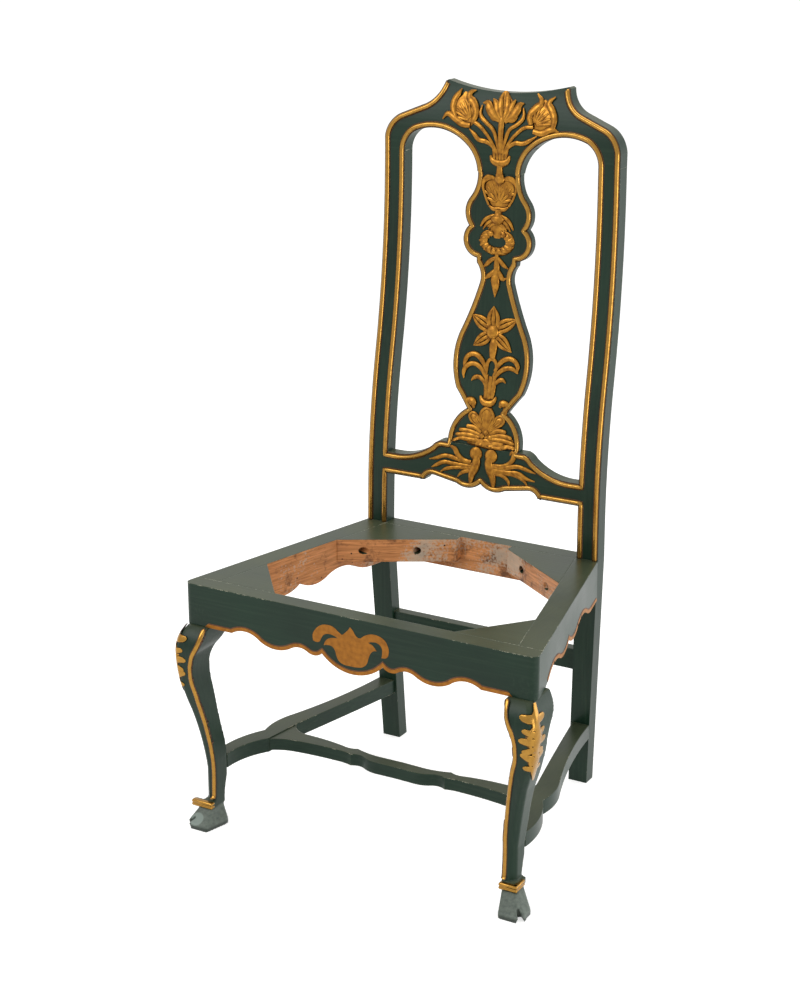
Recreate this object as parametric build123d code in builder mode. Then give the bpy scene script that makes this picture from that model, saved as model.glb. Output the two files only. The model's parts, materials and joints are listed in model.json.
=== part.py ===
from build123d import *
from math import atan2, cos, sin, sqrt
import os

# A green painted baroque side chair: two rear posts that run from floor to crest, an open seat frame
# with big corner blocks, cabriole front legs with cloven hooves, and serpentine stretchers.
# Millimetres. +X is the chair's left-to-right, -Y is its front, +Z is up, and z = 0 is the floor.
# Every y below is measured from the front face of the seat frame.

os.makedirs("parts", exist_ok=True)

# ---------------------------------------------------------------- driving dimensions
# Seat frame
seat_width_front = 554.0
seat_depth = 366.0  # front face of the frame to the front of the rear posts
seat_height = 366.0
rail_height = 61.0
rear_rail_height = 51.0
front_rail_thickness = 27.0
side_rail_thickness = 34.0
rear_rail_thickness = 27.0
corner_radius = 10.0
apron_drop = 20.5  # how far the middle of the front apron hangs below its ends
apron_cusp_x = 48.0

# Corner blocks: how far each one runs along its rails from their inner corner
block_height = 35.0
front_block_along_x = 95.0
front_block_along_y = 92.0
rear_block_along_y = 104.0
rear_block_left_x = 130.0
rear_block_right_x = 103.0
rear_block_blunt = 14.0  # blunt end of a rear block on the rear rail

# Rear posts and back
post_width_top = 33.3
post_width_seat = 33.5
post_width_floor = 29.5
post_depth = 23.0
post_outer_floor = 177.5
post_outer_seat = 193.0
post_outer_top = 187.5
post_foot_back = 19.0  # how far the foot stands behind the post's face at the seat
back_bend_start = 44.0  # the back is upright up to this far above the seat
back_bend_end = 128.5  # and upright again from this far below the top
back_rake = 45.0  # how far it leans back between the two
back_bend_share = 0.44  # share of the bend that the lower arc takes

# Crest rail
crest_height = 1028.5
crest_depth = 103.5  # from its top down to the posts
crest_neck_depth = 123.5  # and down to the splat
crest_peak_x = 95.0
crest_dip = 12.5
crest_lean_depth = 88.5  # the part that leans back, from the top down
crest_lean_front = 24.0
crest_lean_rear = 18.0
crest_ear = 84.0  # how far below the top the ears are widest
neck_half_width = 34.5
neck_depth = 15.0
neck_relief_height = 36.0
neck_relief_half = 72.0

# Lower back rail and splat
lower_rail_gap = 78.5  # clear space between the seat frame and the rail
lower_rail_end = 33.0  # height at the posts
lower_rail_middle = 63.5  # and under the splat
lower_rail_depth = 19.0
lower_rail_notch = 94.0  # from the middle to the notch in its lower edge
lower_rail_shoulder = 140.0  # and to the foot of the rise in its upper edge
splat_thickness = 11.0
splat_half_base = 59.5
splat_half_waist = 33.0
splat_half_bulb = 62.5
splat_half_neck = 25.5
splat_half_lobe = 55.0

# Front legs: a sawn cabriole leg, with its own curve on each pair of faces
leg_dowel_radius = 10.0
leg_dowel_length = 44.0
leg_dowel_in = 24.0  # from the frame's side
leg_dowel_y = 14.0
leg_top_width = 35.0
leg_top_depth = 50.0
leg_top_in = 7.0
knee_out = 6.5  # how far the knee stands outside the frame, sideways
knee_front = 21.5  # and in front of it
ankle_in = 36.0
ankle_y = 12.0
ankle_width = 19.0
ankle_depth = 27.0
corner_cut = 4.5  # taken off the outer front corner, measured along its diagonal
stretcher_seat_y = 30.0  # flat on the back of the leg, where the side stretcher meets it
band_low = 27.0
band_high = 37.0
band_out_right = 2.5  # how far the band stands out on the front and outer sides
band_out_left = 7.0  # more on the left leg, as the two were carved by eye
hoof_toe = 36.0  # how far the toes stand in front of the frame
hoof_out = 3.0  # and outside it
hoof_width = 37.0
hoof_edge = 8.0
hoof_corner_radius = 5.0
cleft_width = 12.0
cleft_height = 19.0
cleft_reach = 26.0

# Stretchers
side_stretcher_low = 77.0
side_stretcher_high = 99.0
cross_low = 79.5
cross_high = 97.5
cross_y = 125.0
cross_thickness = 19.5
cross_cusp_share = 0.387  # where the two cusps stand, as a share of the half length
rear_stretcher_low = 184.0
rear_stretcher_high = 216.0
rear_stretcher_depth = 16.0
rear_stretcher_set_back = 5.0

# Joints
fit = 0.2  # clearance of a tenon in its mortise, each way
tenon = 15.0
tenon_thickness = 10.0

# Block screws, each placed along its rail from the rails' inner corner
screw_radius = 2.0
screw_head_radius = 4.0
screw_head_height = 2.5
screw_bite = 14.0
screw_sides = 12  # the screws repeat, so each is drawn with few sides
pocket_radius = 5.5
pocket_depth = 60.0
block_cover = 14.0  # wood left between a pocket's floor and the rail
front_screw_along_x = 66.0
front_screw_along_y = 68.0
rear_screw_along_y = 77.0
rear_screw_left_x = 79.0
rear_screw_right_x = 67.0

# ---------------------------------------------------------------- derived frame
# The whole chair is centred front to back on the origin.
overall_front = -hoof_toe
crest_back = seat_depth + back_rake + post_depth + crest_lean_rear
front_y = -(overall_front + crest_back) / 2

plan = Plane(origin=(0, front_y, 0), x_dir=(1, 0, 0), z_dir=(0, 0, 1))  # (x, y)
side = Plane(origin=(0, front_y, 0), x_dir=(0, 1, 0), z_dir=(1, 0, 0))  # (y, z)
front = Plane(origin=(0, front_y, 0), x_dir=(1, 0, 0), z_dir=(0, -1, 0))  # (x, z)

rail_low = seat_height - rail_height
half_front = seat_width_front / 2
side_slope = (half_front - post_outer_seat) / seat_depth
side_angle = atan2(half_front - post_outer_seat, seat_depth)
side_rail_x = side_rail_thickness / cos(side_angle)  # thickness measured along x
post_back = seat_depth + post_depth
post_inner_seat = post_outer_seat - post_width_seat
post_inner_floor = post_outer_floor - post_width_floor
post_inner_top = post_outer_top - post_width_top
rear_rail_front = post_back - rear_rail_thickness
post_top = crest_height - crest_depth
neck_z = crest_height - crest_neck_depth
crest_lean_start = crest_height - crest_lean_depth
back_bend_low = seat_height + back_bend_start
back_bend_high = crest_height - back_bend_end
lower_rail_bottom = seat_height + lower_rail_gap
lower_rail_end_top = lower_rail_bottom + lower_rail_end
lower_rail_top = lower_rail_bottom + lower_rail_middle
leg_dowel_x = half_front - leg_dowel_in
ankle_x = half_front - ankle_in
ankle_inner = ankle_x - ankle_width / 2
ankle_outer = ankle_x + ankle_width / 2
reach = 2 * seat_width_front  # longer than any piece is wide or deep, for cutting profiles


def side_outer(y):
    """Outer face of the right side rail at depth y."""
    return half_front - side_slope * y


def side_inner(y):
    """Inner face of the right side rail at depth y."""
    return side_outer(y) - side_rail_x


def post_face(z):
    """Front face of the rear post below the seat."""
    return seat_depth + post_foot_back * (seat_height - z) / seat_height


def post_inner(z):
    """Inner face of the right rear post at height z."""
    if z <= seat_height:
        return post_inner_floor + (post_inner_seat - post_inner_floor) * z / seat_height
    return post_inner_seat + (post_inner_top - post_inner_seat) * (z - seat_height) / (post_top - seat_height)


def under_rail(inset, y):
    """A point that lies this far inside the seat rail's outer face, seen from above."""
    return (side_outer(y) - inset, y)


# ---------------------------------------------------------------- helpers
standing = (Align.CENTER, Align.CENTER, Align.MIN)
hanging = (Align.CENTER, Align.CENTER, Align.MAX)


def block_between(x, y, z, grow=0.0, mode=Mode.ADD):
    """A box given by its ends on each axis, added to or cut from the part being built."""
    centre = ((x[0] + x[1]) / 2, front_y + (y[0] + y[1]) / 2, (z[0] + z[1]) / 2)
    with Locations(centre):
        Box(x[1] - x[0] + 2 * grow, y[1] - y[0] + 2 * grow, z[1] - z[0] + 2 * grow, mode=mode)


def blocks_both_sides(x, y, z, grow=0.0, mode=Mode.ADD):
    """The same box on the right and, mirrored, on the left."""
    block_between(x, y, z, grow, mode)
    block_between((-x[1], -x[0]), y, z, grow, mode)


def mirrored(part):
    """The same piece for the chair's other side."""
    return mirror(part, about=Plane.YZ, mode=Mode.PRIVATE)


def arcs(*points):
    """Arcs in a row. Each starts where the last one ended, and takes two points: through, then end."""
    for start, through, end in zip(points[::2], points[1::2], points[2::2]):
        ThreePointArc(start, through, end)


# ---------------------------------------------------------------- tenons
# Each is one box (x, y, z) on the right side, used for the tenon and, grown by the fit, for its mortise.
seat_tenon = (
    (post_outer_seat - 23.5, post_outer_seat - 23.5 + tenon_thickness),
    (seat_depth - 2, seat_depth + tenon),
    (rail_low + 8, rail_low + 28),
)
rear_rail_tenon = (
    (post_inner_seat - 4, post_inner_seat + tenon),
    (seat_depth + 6, seat_depth + 6 + tenon_thickness),
    (seat_height - 28, seat_height - 8),
)
post_top_tenon = (
    (post_outer_top - 27, post_outer_top - 7),
    (seat_depth + back_rake + 7, seat_depth + back_rake + 7 + tenon_thickness),
    (post_top - 2, post_top + tenon),
)
lower_rail_tenon = (
    (post_inner_top - 4, post_inner_top + 2 + tenon),
    (seat_depth + 6, seat_depth + 4 + tenon_thickness),
    (lower_rail_bottom + 6, lower_rail_end_top - 6),
)
splat_low_tenon = (
    (-splat_half_waist, splat_half_waist),
    (seat_depth + 9, seat_depth + 6 + tenon_thickness),
    (lower_rail_top - tenon, lower_rail_top + 2),
)
splat_top_tenon = (
    (-neck_half_width + 10, neck_half_width - 10),
    (seat_depth + back_rake + 4, seat_depth + back_rake + 1 + tenon_thickness),
    (neck_z - 2, neck_z + tenon),
)
rear_stretcher_face = post_face((rear_stretcher_low + rear_stretcher_high) / 2) + rear_stretcher_set_back
rear_stretcher_tenon = (
    (post_inner_floor - 4, post_inner_floor + 16.5),
    (rear_stretcher_face + 3, rear_stretcher_face + 1 + tenon_thickness),
    (rear_stretcher_low + 6, rear_stretcher_high - 6),
)
side_stretcher_front_tenon = (
    (ankle_x - 5, ankle_x + 4),
    (stretcher_seat_y - tenon, stretcher_seat_y + 2),
    (side_stretcher_low + 4, side_stretcher_high - 4),
)
side_stretcher_rear_tenon = (
    (post_outer_floor - 15, post_outer_floor - 5),
    (post_face(side_stretcher_high) - 4, post_face(side_stretcher_high) + tenon),
    (side_stretcher_low + 4, side_stretcher_high - 4),
)
cross_joint_front = under_rail(44.7, cross_y - 21)
cross_joint_rear = under_rail(38.8, cross_y + 41)
cross_tenon = (
    (cross_joint_rear[0] - 5, cross_joint_rear[0] - 1 + tenon),
    (cross_y + 2, cross_y + 4 + tenon_thickness),
    (cross_low + 4, cross_high - 4),
)

# ---------------------------------------------------------------- block screws
# Each screw's seat is a plane on its pocket's floor, whose normal points back out of the pocket.
screw_z = seat_height - block_height / 2
front_corner_x = side_inner(front_rail_thickness)
rear_corner_x = side_inner(rear_rail_front)


def side_screw(sign, y):
    """Seat of a screw that goes square into a side rail at depth y."""
    out = (-sign * cos(side_angle), -sin(side_angle), 0)
    x = sign * side_inner(y) + out[0] * block_cover
    return Plane(origin=(x, front_y + y + out[1] * block_cover, screw_z), z_dir=out)


def front_screw(sign):
    x = sign * (front_corner_x - front_screw_along_x)
    y = front_y + front_rail_thickness + block_cover
    return Plane(origin=(x, y, screw_z), z_dir=(0, 1, 0))


def rear_screw(x):
    return Plane(origin=(x, front_y + rear_rail_front - block_cover, screw_z), z_dir=(0, -1, 0))


screw_places = [
    front_screw(-1),
    front_screw(1),
    rear_screw(-rear_corner_x + rear_screw_left_x),
    rear_screw(rear_corner_x - rear_screw_right_x),
    side_screw(-1, front_rail_thickness + front_screw_along_y),
    side_screw(1, front_rail_thickness + front_screw_along_y),
    side_screw(-1, rear_rail_front - rear_screw_along_y),
    side_screw(1, rear_rail_front - rear_screw_along_y),
]


def screw_holes():
    """Pockets and clearance holes of all the screws, cut from the part being built."""
    for place in screw_places:
        with Locations(place):
            Cylinder(pocket_radius, pocket_depth, align=standing, mode=Mode.SUBTRACT)
            Cylinder(
                screw_radius + fit,
                block_cover + screw_bite + fit,
                align=hanging,
                mode=Mode.SUBTRACT,
            )


# ---------------------------------------------------------------- the bent back, seen from the side
bend_span = back_bend_high - back_bend_low
bend_z = back_bend_low + bend_span * back_bend_share  # where the lower arc meets the upper one
bend_y = back_rake * back_bend_share


def arc_radius(rise, run):
    """Radius of an arc that starts along its run and rises to one side of it."""
    return (rise**2 + run**2) / (2 * rise)


low_radius = arc_radius(bend_y, bend_z - back_bend_low)
high_radius = arc_radius(back_rake - bend_y, back_bend_high - bend_z)


def back_face(z):
    """Front face of the back at height z, measured from the front of the seat frame."""
    if z <= seat_height:
        return post_face(z)
    if z <= back_bend_low:
        return seat_depth
    if z <= bend_z:
        return seat_depth + low_radius - sqrt(low_radius**2 - (z - back_bend_low) ** 2)
    if z <= back_bend_high:
        return seat_depth + back_rake - high_radius + sqrt(high_radius**2 - (back_bend_high - z) ** 2)
    return seat_depth + back_rake


def bend_points(shift):
    """Points of the two arcs of the bend, moved back by shift: start, middle, join, middle, end."""
    low_middle = (back_bend_low + bend_z) / 2
    high_middle = (bend_z + back_bend_high) / 2
    heights = (back_bend_low, low_middle, bend_z, high_middle, back_bend_high)
    return [(back_face(z) + shift, z) for z in heights]


def back_band(plane, depth, top):
    """Side view of the bent back, from the floor to a height above the bend."""
    face, rear = bend_points(0), bend_points(depth)
    top_y = seat_depth + back_rake
    with BuildSketch(plane) as band:
        with BuildLine():
            Polyline((post_face(0), 0), (seat_depth, seat_height), face[0])
            ThreePointArc(*face[0:3])
            ThreePointArc(*face[2:5])
            Polyline(face[4], (top_y, top), (top_y + depth, top), rear[4])
            ThreePointArc(rear[4], rear[3], rear[2])
            ThreePointArc(rear[2], rear[1], rear[0])
            Polyline(rear[0], (seat_depth + depth, seat_height), (post_face(0) + depth, 0), (post_face(0), 0))
        make_face()
    return band.sketch


# ---------------------------------------------------------------- rear posts
with BuildPart() as rear_post_right:
    extrude(back_band(side, post_depth, post_top), amount=reach)
    with BuildSketch(front.offset(-reach)):
        Polygon(
            (post_inner_floor, 0),
            (post_outer_floor, 0),
            (post_outer_seat, seat_height),
            (post_outer_top, post_top),
            (post_inner_top, post_top),
            (post_inner_seat, seat_height),
            align=None,
        )
    extrude(amount=reach, mode=Mode.INTERSECT)
    block_between(*post_top_tenon)
    block_between(*seat_tenon, grow=fit, mode=Mode.SUBTRACT)
    block_between(*rear_rail_tenon, grow=fit, mode=Mode.SUBTRACT)
    block_between(*lower_rail_tenon, grow=fit, mode=Mode.SUBTRACT)
    block_between(*rear_stretcher_tenon, grow=fit, mode=Mode.SUBTRACT)
    block_between(*side_stretcher_rear_tenon, grow=fit, mode=Mode.SUBTRACT)
rear_post_right.part.label = "rear_post_right"

with BuildPart() as rear_post_left:
    add(mirrored(rear_post_right.part))
rear_post_left.part.label = "rear_post_left"

# ---------------------------------------------------------------- crest rail
crest_front = seat_depth + back_rake
lean_top = crest_height + crest_dip  # the band runs past the outline that cuts it
lean_middle = (crest_lean_start + lean_top) / 2


def leaned(lean, z):
    """How far a face of the crest has leaned back at height z."""
    radius = arc_radius(lean, crest_lean_depth)
    return radius - sqrt(radius**2 - (z - crest_lean_start) ** 2)


def crest_band(plane, depth):
    """Side view of the crest: upright over the posts, then leaning back and thinning to the top."""
    rear = crest_front + depth
    front_top = (crest_front + leaned(crest_lean_front, lean_top), lean_top)
    rear_top = (rear + leaned(crest_lean_rear, lean_top), lean_top)
    with BuildSketch(plane) as band:
        with BuildLine():
            Polyline(
                (rear, crest_lean_start),
                (rear, neck_z - fit),
                (crest_front, neck_z - fit),
                (crest_front, crest_lean_start),
            )
            ThreePointArc(
                (crest_front, crest_lean_start),
                (crest_front + leaned(crest_lean_front, lean_middle), lean_middle),
                front_top,
            )
            Line(front_top, rear_top)
            ThreePointArc(
                rear_top,
                (rear + leaned(crest_lean_rear, lean_middle), lean_middle),
                (rear, crest_lean_start),
            )
        make_face()
    return band.sketch


with BuildPart() as crest_rail:
    extrude(crest_band(side, post_depth), amount=post_outer_top, both=True)
    with BuildSketch(front.offset(-reach)):
        with BuildLine():
            peak = (crest_peak_x, crest_height)
            brow = (crest_peak_x + 4, crest_height - 2)
            RadiusArc((0, crest_height - crest_dip), peak, -arc_radius(crest_dip, crest_peak_x))
            Line(peak, brow)
            shoulder = (post_outer_top - 63.5, crest_height - 34)
            ear = (post_outer_top - 27.5, crest_height - 48.5)
            arcs(brow, (post_outer_top - 80, crest_height - 21), shoulder)
            Line(shoulder, ear)
            arcs(
                ear,
                (post_outer_top - 8.7, crest_height - 62.3),
                (post_outer_top, crest_height - crest_ear),
            )
            Polyline(
                (post_outer_top, crest_height - crest_ear),
                (post_outer_top, post_top),
                (post_inner_top, post_top),
            )
            arcs(
                (post_inner_top, post_top),
                (post_inner_top - 4.5, post_top + 17),
                (post_inner_top - 18, post_top + 30.5),
                (post_inner_top - 45, post_top + 36.5),
                (neck_half_width + 41.7, post_top + 31),
                (neck_half_width + 25.5, post_top + 22.5),
                (neck_half_width + 12.5, post_top + 11),
                (neck_half_width + 4, post_top - 3),
                (neck_half_width, neck_z),
            )
            Line((neck_half_width, neck_z), (0, neck_z))
            mirror(about=Plane.YZ)
        make_face()
    extrude(amount=reach, mode=Mode.INTERSECT)
    blocks_both_sides(*post_top_tenon, grow=fit, mode=Mode.SUBTRACT)
    block_between(*splat_top_tenon, grow=fit, mode=Mode.SUBTRACT)

    # Behind the neck the rail thins down to the splat
    with BuildSketch(side.offset(-neck_relief_half)):
        Polygon(
            (crest_front + post_depth, neck_z - 1),
            (crest_front + neck_depth, neck_z - 1),
            (crest_front + neck_depth, neck_z),
            (crest_front + post_depth, neck_z + neck_relief_height),
            align=None,
        )
    extrude(amount=2 * neck_relief_half, mode=Mode.SUBTRACT)
crest_rail.part.label = "crest_rail"

# ---------------------------------------------------------------- lower back rail
with BuildPart() as lower_back_rail:
    extrude(back_band(side, lower_rail_depth, post_top), amount=post_outer_seat, both=True)
    with BuildSketch(front.offset(-reach)):
        with BuildLine():
            lobe_end = (lower_rail_notch - 54, lower_rail_bottom + 3)
            wave_top = (lower_rail_notch - 17, lower_rail_bottom + 9.5)
            arcs((0, lower_rail_bottom + 7.5), (lower_rail_notch - 75, lower_rail_bottom - 1.3), lobe_end)
            Line(lobe_end, wave_top)
            notch = (lower_rail_notch, lower_rail_bottom)
            arcs(wave_top, (lower_rail_notch - 7, lower_rail_bottom + 8), notch)
            Polyline(
                notch,
                (post_inner(lower_rail_bottom), lower_rail_bottom),
                (post_inner(lower_rail_end_top), lower_rail_end_top),
                (lower_rail_shoulder, lower_rail_end_top),
            )
            arcs(
                (lower_rail_shoulder, lower_rail_end_top),
                (lower_rail_shoulder - 36, lower_rail_end_top + 8.5),
                (splat_half_base + 23.5, lower_rail_top - 9),
                (splat_half_base + 17, lower_rail_top - 3),
                (splat_half_base + 10, lower_rail_top),
            )
            Line((splat_half_base + 10, lower_rail_top), (0, lower_rail_top))
            mirror(about=Plane.YZ)
        make_face()
    extrude(amount=reach, mode=Mode.INTERSECT)
    blocks_both_sides(*lower_rail_tenon)
    block_between(*splat_low_tenon, grow=fit, mode=Mode.SUBTRACT)
lower_back_rail.part.label = "lower_back_rail"

# ---------------------------------------------------------------- splat
splat_rise = neck_z - lower_rail_top


def splat_z(share):
    """Height on the splat: 0 at the lower rail, 1 at the crest."""
    return lower_rail_top + splat_rise * share


def splat_band(plane):
    """Side view of the splat: a thin board, bent deeper than the posts behind the sitter's back."""
    stations = ((0, 4), (0.16, 9.3), (0.423, 8.5), (0.65, 3.5), (1, 2))
    face = [(back_face(splat_z(share)) + set_back, splat_z(share)) for share, set_back in stations]
    rear = [(y + splat_thickness, z) for y, z in face]
    with BuildSketch(plane) as band:
        with BuildLine():
            arcs(*face)
            Line(face[-1], rear[-1])
            arcs(*rear)
            Line(rear[0], face[0])
        make_face()
    return band.sketch


with BuildPart() as back_splat:
    extrude(splat_band(side), amount=splat_half_bulb, both=True)
    with BuildSketch(front.offset(-reach)):
        with BuildLine():
            lobe_low = (splat_half_waist, splat_z(0.685))
            neck_flare = (splat_half_neck + 7, splat_z(0.668))
            Line((0, lower_rail_top), (splat_half_base, lower_rail_top))
            arcs(
                (splat_half_base, lower_rail_top),
                (splat_half_base - 6, splat_z(0.074)),
                (splat_half_waist, splat_z(0.131)),
                (splat_half_waist + 11, splat_z(0.169)),
                (splat_half_bulb - 8.5, splat_z(0.201)),
                (splat_half_bulb, splat_z(0.294)),
                (splat_half_bulb - 8.5, splat_z(0.413)),
                (splat_half_neck + 12.5, splat_z(0.508)),
                (splat_half_neck, splat_z(0.602)),
                (splat_half_neck + 0.5, splat_z(0.637)),
                neck_flare,
            )
            Line(neck_flare, lobe_low)
            arcs(
                lobe_low,
                (splat_half_lobe, splat_z(0.738)),
                (splat_half_lobe - 8, splat_z(0.801)),
                (splat_half_lobe - 1.5, splat_z(0.849)),
                (splat_half_lobe - 9, splat_z(0.904)),
                (neck_half_width + 3, splat_z(0.942)),
                (neck_half_width, neck_z),
            )
            Line((neck_half_width, neck_z), (0, neck_z))
            mirror(about=Plane.YZ)
        make_face()
    extrude(amount=reach, mode=Mode.INTERSECT)
    block_between(*splat_low_tenon)
    block_between(*splat_top_tenon)
back_splat.part.label = "back_splat"

# ---------------------------------------------------------------- seat rails
side_middle = seat_depth / 2
side_scallop = ((0, 13), (28, 3.2), (57, 10), (85, 16), (112, 9.5), (126, 3), (142, 0))
lap_z = rail_low + rail_height / 2  # the front corners are half-lapped at this height


def dowel_holes():
    """The blind holes that the front legs' dowels fill, cut from the part being built."""
    for x in (-leg_dowel_x, leg_dowel_x):
        with Locations((x, front_y + leg_dowel_y, rail_low - fit)):
            Cylinder(
                leg_dowel_radius + fit,
                leg_dowel_length + 2 * fit,
                align=standing,
                mode=Mode.SUBTRACT,
            )


def scallop(direction):
    """One half of the scalloped lower edge of a side rail, from its middle towards an end."""
    return [(side_middle + direction * run, rail_low + rise) for run, rise in side_scallop]


with BuildPart() as seat_rail_right:
    with BuildSketch(plan.offset(rail_low)):
        with BuildLine():
            Polyline(
                (half_front, 0),
                (side_outer(post_back), post_back),
                (side_inner(post_back), post_back),
                (side_inner(0), 0),
                close=True,
            )
        make_face()
        fillet(vertices().sort_by(Axis.X)[-1], corner_radius)
    extrude(amount=rail_height)
    with BuildSketch(side):
        with BuildLine():
            arcs(*scallop(-1))
            arcs(*scallop(1))
            Polyline(scallop(-1)[-1], (0, rail_low), (0, seat_height), (seat_depth, seat_height))
            Polyline((seat_depth, seat_height), (post_face(rail_low), rail_low), scallop(1)[-1])
        make_face()
    extrude(amount=reach, mode=Mode.INTERSECT)
    block_between((0, reach), (0, front_rail_thickness), (lap_z, seat_height), mode=Mode.SUBTRACT)
    block_between(*seat_tenon)
    dowel_holes()
    screw_holes()
seat_rail_right.part.label = "seat_rail_right"

with BuildPart() as seat_rail_left:
    add(mirrored(seat_rail_right.part))
seat_rail_left.part.label = "seat_rail_left"


def apron_half(sign):
    """Half of the front rail's lower edge, from the middle lobe's cusp out to the flat."""
    wave = ((0, 0), (10, -5), (24, -2), (36, 1.3), (49, -2.2), (75, -10), (102, -2.5), (126, 6.5), (148, 0))
    return [(sign * (apron_cusp_x + run), rail_low + rise) for run, rise in wave]


with BuildPart() as seat_rail_front:
    with BuildSketch(plan.offset(rail_low - apron_drop)):
        with BuildLine():
            Polyline(
                (-half_front, 0),
                (half_front, 0),
                (side_outer(front_rail_thickness), front_rail_thickness),
                (-side_outer(front_rail_thickness), front_rail_thickness),
                close=True,
            )
        make_face()
        fillet(vertices().group_by(Axis.Y)[0], corner_radius)
    extrude(amount=rail_height + apron_drop)
    with BuildSketch(front.offset(-reach)):
        with BuildLine():
            arcs(apron_half(-1)[0], (0, rail_low - apron_drop), apron_half(1)[0])
            arcs(*apron_half(-1))
            arcs(*apron_half(1))
            Polyline(
                apron_half(1)[-1],
                (half_front, rail_low),
                (half_front, seat_height),
                (-half_front, seat_height),
                (-half_front, rail_low),
                apron_half(-1)[-1],
            )
        make_face()
    extrude(amount=reach, mode=Mode.INTERSECT)
    for sign in (-1, 1):
        with BuildSketch(plan.offset(rail_low)):
            Polygon(
                (sign * side_inner(0), 0),
                (sign * half_front, 0),
                (sign * half_front, front_rail_thickness),
                (sign * side_inner(front_rail_thickness), front_rail_thickness),
                align=None,
            )
        extrude(amount=lap_z - rail_low, mode=Mode.SUBTRACT)
    dowel_holes()
    screw_holes()
seat_rail_front.part.label = "seat_rail_front"

with BuildPart() as seat_rail_rear:
    rear_rail_low = seat_height - rear_rail_height
    with BuildSketch(front.offset(-post_back)):
        Polygon(
            (-post_inner(rear_rail_low), rear_rail_low),
            (post_inner(rear_rail_low), rear_rail_low),
            (post_inner_seat, seat_height),
            (-post_inner_seat, seat_height),
            align=None,
        )
    extrude(amount=rear_rail_thickness)
    add(seat_rail_left.part, mode=Mode.SUBTRACT)
    add(seat_rail_right.part, mode=Mode.SUBTRACT)
    blocks_both_sides(*rear_rail_tenon)
    screw_holes()
seat_rail_rear.part.label = "seat_rail_rear"


# ---------------------------------------------------------------- corner blocks
def corner_block(label, *outline):
    """A block of the given plan between two rails, drilled for its two screws."""
    with BuildPart() as block:
        with BuildSketch(plan.offset(seat_height - block_height)):
            Polygon(*outline, align=None)
        extrude(amount=block_height)
        screw_holes()
    block.part.label = label
    return block


def front_block(label, sign):
    far_y = front_rail_thickness + front_block_along_y
    return corner_block(
        label,
        (sign * (front_corner_x - front_block_along_x), front_rail_thickness),
        (sign * front_corner_x, front_rail_thickness),
        (sign * side_inner(far_y), far_y),
    )


def rear_block(label, sign, along_x):
    near_y = rear_rail_front - rear_block_along_y
    end_x = sign * (rear_corner_x - along_x)
    return corner_block(
        label,
        (sign * side_inner(near_y), near_y),
        (sign * rear_corner_x, rear_rail_front),
        (end_x, rear_rail_front),
        (end_x, rear_rail_front - rear_block_blunt),
    )


corner_blocks = [
    front_block("corner_block_front_left", -1),
    front_block("corner_block_front_right", 1),
    rear_block("corner_block_rear_left", -1, rear_block_left_x),
    rear_block("corner_block_rear_right", 1, rear_block_right_x),
]

with BuildPart() as corner_block_screws:
    for screw_place in screw_places:
        with BuildSketch(screw_place):
            RegularPolygon(screw_head_radius, screw_sides)
        extrude(amount=screw_head_height)
        with BuildSketch(screw_place):
            RegularPolygon(screw_radius, screw_sides)
        extrude(amount=-block_cover - screw_bite)
corner_block_screws.part.label = "corner_block_screws"


# ---------------------------------------------------------------- front legs
def leg_z(share):
    """Height on the leg: 0 at the top of the ankle band, 1 under the seat frame."""
    return band_high + (rail_low - band_high) * share


# Along the leg, from the top down: height, how far it stands out in front, and its outer side
knee_x = half_front + knee_out
leg_curve = (
    (rail_low, 3.0, half_front - leg_top_in),
    (leg_z(0.937), knee_front - 4.5, knee_x - 4.5),
    (leg_z(0.83), knee_front, knee_x),
    (leg_z(0.685), knee_front - 3.2, knee_x - 4.7),
    (leg_z(0.53), knee_front - 10, knee_x - 15.8),
    (leg_z(0.35), knee_front - 17.9, knee_x - 26.3),
    (leg_z(0.18), 0.0, ankle_outer),
)
corner_view = Plane(origin=(0, front_y, 0), x_dir=(1, -1, 0), z_dir=(-1, -1, 0))


def rounded_outline(plane, corners):
    """A four-cornered outline with its corners rounded off."""
    with BuildSketch(plane) as outline:
        Polygon(*corners, align=None)
        fillet(outline.vertices(), hoof_corner_radius)
    return outline.sketch


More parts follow.
